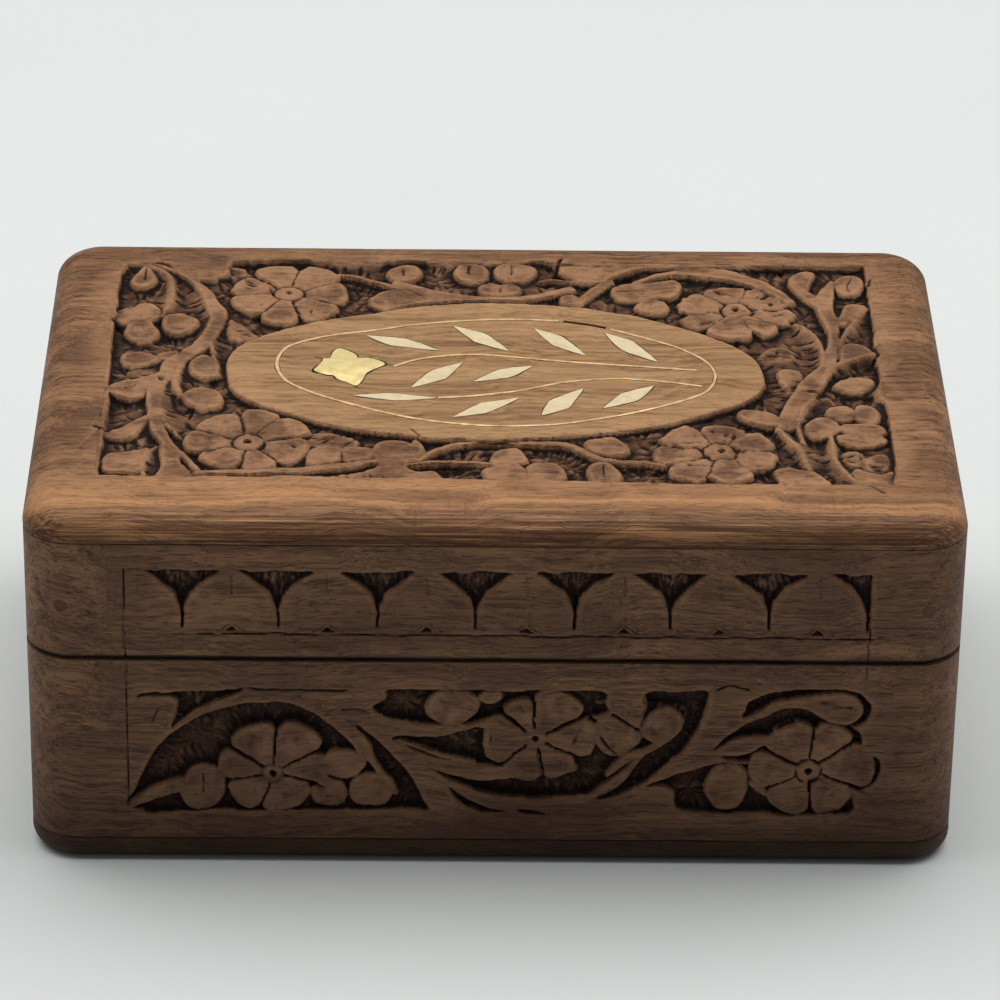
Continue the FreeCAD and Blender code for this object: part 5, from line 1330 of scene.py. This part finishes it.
def wood(name, along, shift, carved=True, lit_share=1.0):
    """Oiled sheesham: grain along one axis, pores, streaks, a dark carved ground, worn edges with painted
    highlights, and painted shade.
    """
    s = Shade(name)
    mm = s.scaled(MILLIMETRES, shift)

    def stretched(by):
        """Wandering coordinates, drawn out along the grain."""
        scale = [1.0, 1.0, 1.0]
        scale["xyz".index(along)] = by
        return s.scaled(scale, source=bent.outputs[0])

    place = s.add("ShaderNodeSeparateXYZ")
    s.link(s.scaled(MILLIMETRES), place.inputs[0])
    _, y, z = place.outputs
    wander = s.noise(0.035, mm, 2.0)
    bent = s.add("ShaderNodeVectorMath", operation="MULTIPLY_ADD")
    s.link(wander, bent.inputs[0])
    bent.inputs[1].default_value = (9.0, 9.0, 9.0)
    s.link(mm, bent.inputs[2])
    bands = s.noise(0.16, stretched(0.03), 4.0, 0.6, 0.4)
    lines = s.noise(1.0, stretched(0.04), 5.0, 0.65)
    threads = s.noise(4.0, stretched(0.022), 3.0, 0.6)
    pores = s.noise(3.6, stretched(0.10), 2.0, 0.5)
    blotch = s.noise(0.07, mm, 4.0)
    specks = s.noise(1.6, mm, 3.0, 0.6)
    colour = s.mix(s.ramp(bands, 0.36, 0.64), rgb(98, 68, 46), rgb(146, 106, 74))
    colour = s.mix(s.ramp(lines, 0.46, 0.64, 0.0, 0.85), colour, rgb(66, 41, 26))
    colour = s.mix(s.ramp(threads, 0.50, 0.66, 0.0, 0.5), colour, rgb(168, 122, 84))
    colour = s.mix(s.ramp(blotch, 0.42, 0.66, 0.0, 0.6), colour, rgb(84, 55, 38))
    colour = s.mix(s.ramp(specks, 0.60, 0.74, 0.0, 0.5), colour, rgb(52, 32, 21))
    pore_mask = s.ramp(pores, 0.59, 0.68)
    colour = s.mix(s.times(pore_mask, 0.5), colour, rgb(40, 24, 15))
    rough = s.ramp(lines, 0.3, 0.7, 0.44, 0.60)
    height = s.math("MULTIPLY_ADD", pore_mask, -0.7, s.times(lines, 0.8))
    if carved:
        carve, hollow, shade, plain = (s.attribute(n) for n in ("carve", "hollow", "shade", "plain"))
        golden = s.mix(s.ramp(lines, 0.40, 0.66), rgb(162, 126, 87), rgb(113, 80, 50))
        golden = s.mix(s.ramp(bands, 0.40, 0.62, 0.0, 0.5), golden, rgb(174, 138, 97))
        colour = s.mix(s.times(plain, 0.85), colour, golden)
        grime = s.noise(0.35, mm, 3.0)
        lobes = s.times(s.ramp(carve, 0.04, 0.13), s.math("SUBTRACT", 1.0, plain))
        colour = s.mix(s.times(lobes, s.ramp(grime, 0.35, 0.7, 0.0, 0.32)), colour, rgb(88, 58, 42))
        patch = s.noise(0.17, mm, 2.0)
        colour = s.mix(s.times(lobes, s.ramp(patch, 0.44, 0.58, 0.1, 0.6)), colour, rgb(164, 122, 90))
        colour = s.mix(s.times(lobes, s.ramp(patch, 0.46, 0.36, 0.0, 0.3)), colour, rgb(76, 49, 36))
        deep = s.ramp(carve, 0.30, 0.80)
        colour = s.mix(s.times(deep, s.ramp(grime, 0.3, 0.7, 0.6, 0.95)), colour, rgb(66, 42, 30))
        # Painted shade in the carving's broad hollows.
        low = s.ramp(shade, 0.05, 0.7)
        colour = s.mix(s.times(low, 0.72), colour, rgb(34, 20, 14))
        # Painted shade in fine hollows, on steep walls and in the inlays' pockets.
        inner = s.ramp(hollow, 0.12, 0.66)
        colour = s.mix(s.times(inner, 0.85), colour, rgb(20, 11, 8))
        # Raised edges are painted lighter, partly as wear and partly as a painted highlight, more on the top board.
        raised = s.times(s.ramp(hollow, -0.12, -0.7), s.ramp(z, 58.0, 60.0, 0.16, 0.32))
        colour = s.mix(raised, colour, rgb(176, 132, 94))
        rough = s.math("MULTIPLY_ADD", deep, 0.18, rough)
        chatter = s.noise(1.7, mm, 4.0, 0.62)
        tooled = s.math("MULTIPLY_ADD", deep, 2.2, s.times(lobes, 1.6))
        height = s.math("MULTIPLY_ADD", chatter, tooled, height)
    # Hands have worn the lid's front edge light, and the lightness there is partly a painted highlight; painted
    # shade darkens the base towards the bottom.
    lid = s.ramp(z, 59.7, 60.2)
    worn = s.times(s.ramp(y, -34.0, -44.0), s.ramp(z, 60.5, 63.5))
    worn = s.times(worn, s.ramp(bands, 0.38, 0.56, 0.3, 1.0))
    colour = s.mix(s.times(worn, 0.60), colour, rgb(190, 138, 94))
    # On the lid's front round-over: dark streaks of grain, and light streaks that are partly grain and partly a
    # painted highlight.
    streaks = s.noise(2.2, s.scaled((0.016, 1.0, 1.0), source=mm), 4.0, 0.7)
    edge = s.times(s.ramp(y, -45.0, -48.5), lid)
    colour = s.mix(s.times(edge, s.ramp(streaks, 0.47, 0.58, 0.0, 0.75)), colour, rgb(62, 36, 22))
    colour = s.mix(s.times(edge, s.ramp(streaks, 0.42, 0.34, 0.0, 0.6)), colour, rgb(196, 146, 104))
    saw = s.noise(1.9, s.scaled((1.0, 0.08, 0.08), source=mm), 2.0)
    saw = s.times(s.ramp(blotch, 0.48, 0.60), s.ramp(saw, 0.54, 0.68, 0.0, 0.22))
    if carved:
        saw = s.times(saw, s.math("SUBTRACT", 1.0, plain))
    colour = s.mix(saw, colour, rgb(58, 37, 27))
    colour = s.mix(s.math("SUBTRACT", 0.16, s.times(lid, 0.16)), colour, rgb(86, 70, 68))
    # Painted shade: the wood grows darker towards the bottom.
    colour = s.mix(s.ramp(z, 26.0, 4.5, 0.0, 0.54), colour, rgb(36, 17, 15))
    # Painted shadow lies on the rounded edges where the lid meets the base, standing in for the shade in the seam.
    lean = s.add("ShaderNodeSeparateXYZ")
    s.link(s.add("ShaderNodeTexCoord").outputs["Normal"], lean.inputs[0])
    sloping = s.ramp(s.math("ABSOLUTE", lean.outputs[2]), 0.985, 0.94)
    above = s.times(s.ramp(z, LID_RIM + 0.65, LID_RIM + 0.3), s.ramp(z, LID_RIM - 0.15, LID_RIM - 0.1))
    below = s.ramp(z, BASE_RIM - 0.3, BASE_RIM - 0.1, 0.0, 0.8)
    below = s.times(below, s.ramp(z, BASE_RIM + 0.15, BASE_RIM + 0.1))
    seam_shadow = s.times(s.times(sloping, 0.9), s.math("ADD", above, below))
    colour = s.mix(seam_shadow, colour, rgb(14, 8, 6))
    # Painted shade darkens the whole piece when its share of light is below 1.
    if lit_share < 1:
        colour = s.mix(1 - lit_share, colour, rgb(20, 11, 9))
    return s.finish(colour, rough, s.bump(height, 0.8, 0.00022), Specular_IOR_Level=0.13)


def velvet(name):
    """Wine-red pile whose nap lies this way and that."""
    s = Shade(name)
    mm = s.scaled(MILLIMETRES)
    nap = s.noise(0.055, mm, 3.0, 0.55, 0.8)
    stroke = s.noise(0.35, s.scaled((0.25, 1.0, 1.0), source=mm), 3.0)
    tufts = s.noise(2.6, mm, 3.0, 0.7)
    colour = s.mix(s.ramp(nap, 0.38, 0.66), rgb(98, 15, 25), rgb(126, 24, 36))
    colour = s.mix(s.ramp(stroke, 0.48, 0.70, 0.0, 0.4), colour, rgb(78, 10, 18))
    colour = s.mix(s.ramp(tufts, 0.50, 0.68, 0.0, 0.55), colour, rgb(60, 7, 14))
    sheen = {"Sheen_Weight": 0.35, "Sheen_Roughness": 0.4, "Sheen_Tint": rgb(214, 120, 128)}
    rough = s.ramp(tufts, 0.3, 0.7, 0.82, 0.98)
    return s.finish(colour, rough, s.bump(tufts, 0.9, 0.0003), Specular_IOR_Level=0.12, **sheen)


def metal(name, light, dark, rough):
    """Sheet metal, drawn one way and tarnished in patches."""
    s = Shade(name)
    mm = s.scaled(MILLIMETRES)
    drawn = s.noise(5.0, s.scaled((0.06, 1.0, 1.0), source=mm), 3.0)
    tarnish = s.noise(0.45, mm, 3.0)
    colour = s.mix(s.ramp(tarnish, 0.40, 0.68), light, dark)
    rough = s.math("ADD", s.ramp(tarnish, 0.35, 0.7, rough, rough + 0.22), s.ramp(drawn, 0.3, 0.7, -0.04, 0.04))
    return s.finish(colour, rough, s.bump(drawn, 0.25, 0.00003), Metallic=1.0)


def pale(name, light, dark):
    """Inlay or filler: fine-grained, mottled, lightly polished."""
    s = Shade(name)
    mm = s.scaled(MILLIMETRES)
    fibre = s.noise(2.4, s.scaled((0.10, 1.0, 1.0), source=mm), 3.0)
    mottle = s.noise(0.55, mm, 3.0)
    colour = s.mix(s.ramp(mottle, 0.38, 0.68, 0.0, 0.6), light, dark)
    colour = s.mix(s.ramp(fibre, 0.55, 0.75, 0.0, 0.5), colour, dark)
    rough = s.ramp(mottle, 0.3, 0.7, 0.38, 0.5)
    return s.finish(colour, rough, s.bump(fibre, 0.4, 0.00005), Specular_IOR_Level=0.2)


# ---------------------------------------------------------------- build

WOOD_LONG = wood("sheesham_long", "x", (0, 0, 0))
WOOD_TOP = wood("sheesham_top", "x", (37, 11, 5))
WOOD_SIDE = wood("sheesham_side", "y", (71, 23, 9))
# The floor board's wood is mixed half-way to near-black as painted shade under the box.
WOOD_BOARD = wood("sheesham_board", "x", (13, 57, 3), carved=False, lit_share=0.5)
VELVET = velvet("velvet_wine")
BRASS = metal("brass", rgb(176, 138, 72), rgb(128, 94, 44), 0.34)
STEEL = metal("steel", rgb(150, 146, 140), rgb(96, 92, 88), 0.38)
INLAYS = {
    "leaf_inlay": pale("leaf_inlay", rgb(208, 191, 156), rgb(184, 163, 122)),
    "flower_inlay": metal("flower_inlay", rgb(224, 209, 156), rgb(216, 198, 143), 0.66),
    "line_inlay": metal("line_inlay", rgb(218, 188, 147), rgb(192, 160, 119), 0.6),
}
GLUE = pale("inlay_glue", rgb(44, 28, 20), rgb(28, 17, 12))
FILLER = pale("filler", rgb(86, 58, 39), rgb(60, 39, 26))

pieces, pockets, glue = inlay()
own(glue, "lid", "filler", GLUE)
for name, slot, verts, faces in pieces:
    piece = make_mesh(name + "_cut", verts, faces)
    crisp(piece, 30)
    own(piece, "lid", slot, INLAYS[slot], name)
own(top_board(top_relief(), pockets), "lid", "rosewood", WOOD_TOP, "lid_top_board")
own(floor_board(), "base", "rosewood", WOOD_BOARD, "base_floor")
# Each side's walls, base then lid: their seeds, whether the pattern is mirrored, the first scallop, triangles kept.
for side, base_seed, lid_seed, flip, first, base_kept, lid_kept in (
    ("front", 21, 31, 1, -50.5, 140000, 90000),
    ("back", 23, 33, -1, -60.1, 110000, 70000),
    ("right", 41, 42, 1, -31.6, 80000, 50000),
    ("left", 43, 44, -1, -31.6, 80000, 50000),
):
    if side in LONG_SIDES:
        material = WOOD_LONG
        base = base_relief(LONG_FIELD, base_seed, flip)
        lid = lid_relief(LONG_FIELD, lid_seed, first, 8)
    else:
        material = WOOD_SIDE
        base = base_relief(INNER_Y - CELL, base_seed, flip, 28.0, 34.0)
        lid = lid_relief(INNER_Y - CELL, lid_seed, first, 5)
    wall_piece("base", side, FLOOR_TOP, BASE_RIM, base, base_kept, material)
    wall_piece("lid", side, LID_RIM, TOP_SEAM, lid, lid_kept, material)

for body, up in (("base", "+z"), ("lid", "-z")):
    pad = soft_board(f"{body}_pad_velvet", f"{body}_pad", up, 0.8, 60, crown=0.42, rise=9.0)
    own(pad, body, "velvet", VELVET, f"{body}_pad")
    for k, (side, face) in enumerate((("front", "+y"), ("back", "-y"), ("left", "+x"), ("right", "-x"))):
        node = f"{body}_{side}_lining"
        cloth = soft_board(f"{body}_{side}_velvet", node, face, 0.3, 61 + k, wave=0.16)
        own(cloth, body, "velvet", VELVET, node)

# The metal parts and the filler discs keep their CAD shapes.
for node, obj in frame["nodes"].items():
    if obj.hide_render:
        continue
    fine = obj.modifiers.new("worn_edges", "BEVEL")
    fine.width = 0.00012
    fine.segments = 3
    fine.limit_method = "ANGLE"
    fine.angle_limit = math.radians(40)
    steel = any(word in node for word in ("screws", "nails", "floor_pins"))
    coat(obj, STEEL if steel else FILLER if "fillers" in node else BRASS)

# ---------------------------------------------------------------- studio


def studio():
    """A pale floor that curves up behind, soft light from above and a little behind, and dim air all round."""
    mesh = bpy.data.meshes.new("studio_floor")
    bm = bmesh.new()
    profile = [(-2.5, 0.0), (1.2, 0.0)]
    profile += [(1.2 + 0.9 * math.sin(a), 0.9 - 0.9 * math.cos(a)) for a in np.linspace(0, math.pi / 2, 24)[1:]]
    profile.append((2.1, 3.0))
    lines = [[bm.verts.new((x, y, z)) for y, z in profile] for x in (-3.0, 3.0)]
    for k in range(len(profile) - 1):
        bm.faces.new((lines[0][k], lines[1][k], lines[1][k + 1], lines[0][k + 1])).smooth = True
    bm.to_mesh(mesh)
    bm.free()
    floor = bpy.data.objects.new("studio_floor", mesh)
    bpy.context.scene.collection.objects.link(floor)
    s = Shade("studio_paper")
    away = s.add("ShaderNodeSeparateXYZ")
    s.link(s.point, away.inputs[0])
    paper = s.mix(s.ramp(s.noise(9.0, s.point, 3.0), 0.3, 0.7), rgb(204, 207, 206), rgb(201, 204, 203))
    # Painted shade: the paper grows darker further back.
    paper = s.mix(s.ramp(away.outputs[1], 0.15, 1.1, 0.0, 0.75), paper, rgb(184, 189, 188))
    floor.data.materials.append(s.finish(paper, 0.9))

    light = bpy.data.lights.new("ceiling", "AREA")
    light.shape = "RECTANGLE"
    light.size, light.size_y = 2.4, 1.35
    light.energy = 32.5
    light.color = (1.0, 0.985, 0.97)
    ceiling = bpy.data.objects.new("ceiling", light)
    ceiling.location = (0.0, 0.36, 1.35)
    bpy.context.scene.collection.objects.link(ceiling)
    world = bpy.data.worlds.new("studio_air")
    world.use_nodes = True
    nodes, links = world.node_tree.nodes, world.node_tree.links
    nodes["Background"].inputs[0].default_value = (0.83, 0.87, 0.88, 1)
    around, split, fade = (nodes.new(f"ShaderNode{kind}") for kind in ("TexCoord", "SeparateXYZ", "MapRange"))
    # Brighter behind the box than in front of it.
    links.new(around.outputs["Generated"], split.inputs[0])
    links.new(split.outputs[1], fade.inputs[0])
    for k, v in enumerate((-0.55, 0.15, 0.15, 0.55), 1):
        fade.inputs[k].default_value = v
    links.new(fade.outputs[0], nodes["Background"].inputs[1])
    bpy.context.scene.world = world
    bpy.context.scene.view_settings.view_transform = "Standard"


def camera():
    """The camera that stands where the box is seen from: front, from above, and a touch from the left."""
    data = bpy.data.cameras.new("camera")
    data.sensor_width = 36.0
    data.lens = 187.4
    data.clip_start, data.clip_end = 0.05, 20
    obj = bpy.data.objects.new("camera", data)
    bpy.context.scene.collection.objects.link(obj)
    down, yaw, roll = 0.506, 0.015, 0.015
    forward = Vector((math.sin(yaw) * math.cos(down), math.cos(yaw) * math.cos(down), -math.sin(down)))
    right = Vector((math.cos(yaw), -math.sin(yaw), 0))
    up = right.cross(forward)
    right, up = right * math.cos(roll) + up * math.sin(roll), up * math.cos(roll) - right * math.sin(roll)
    turn = Matrix((right, up, -forward)).transposed().to_4x4()
    obj.matrix_world = Matrix.Translation(Vector((-10.31, -773.05, 468.76)) * MM) @ turn
    bpy.context.scene.camera = obj


studio()
camera()
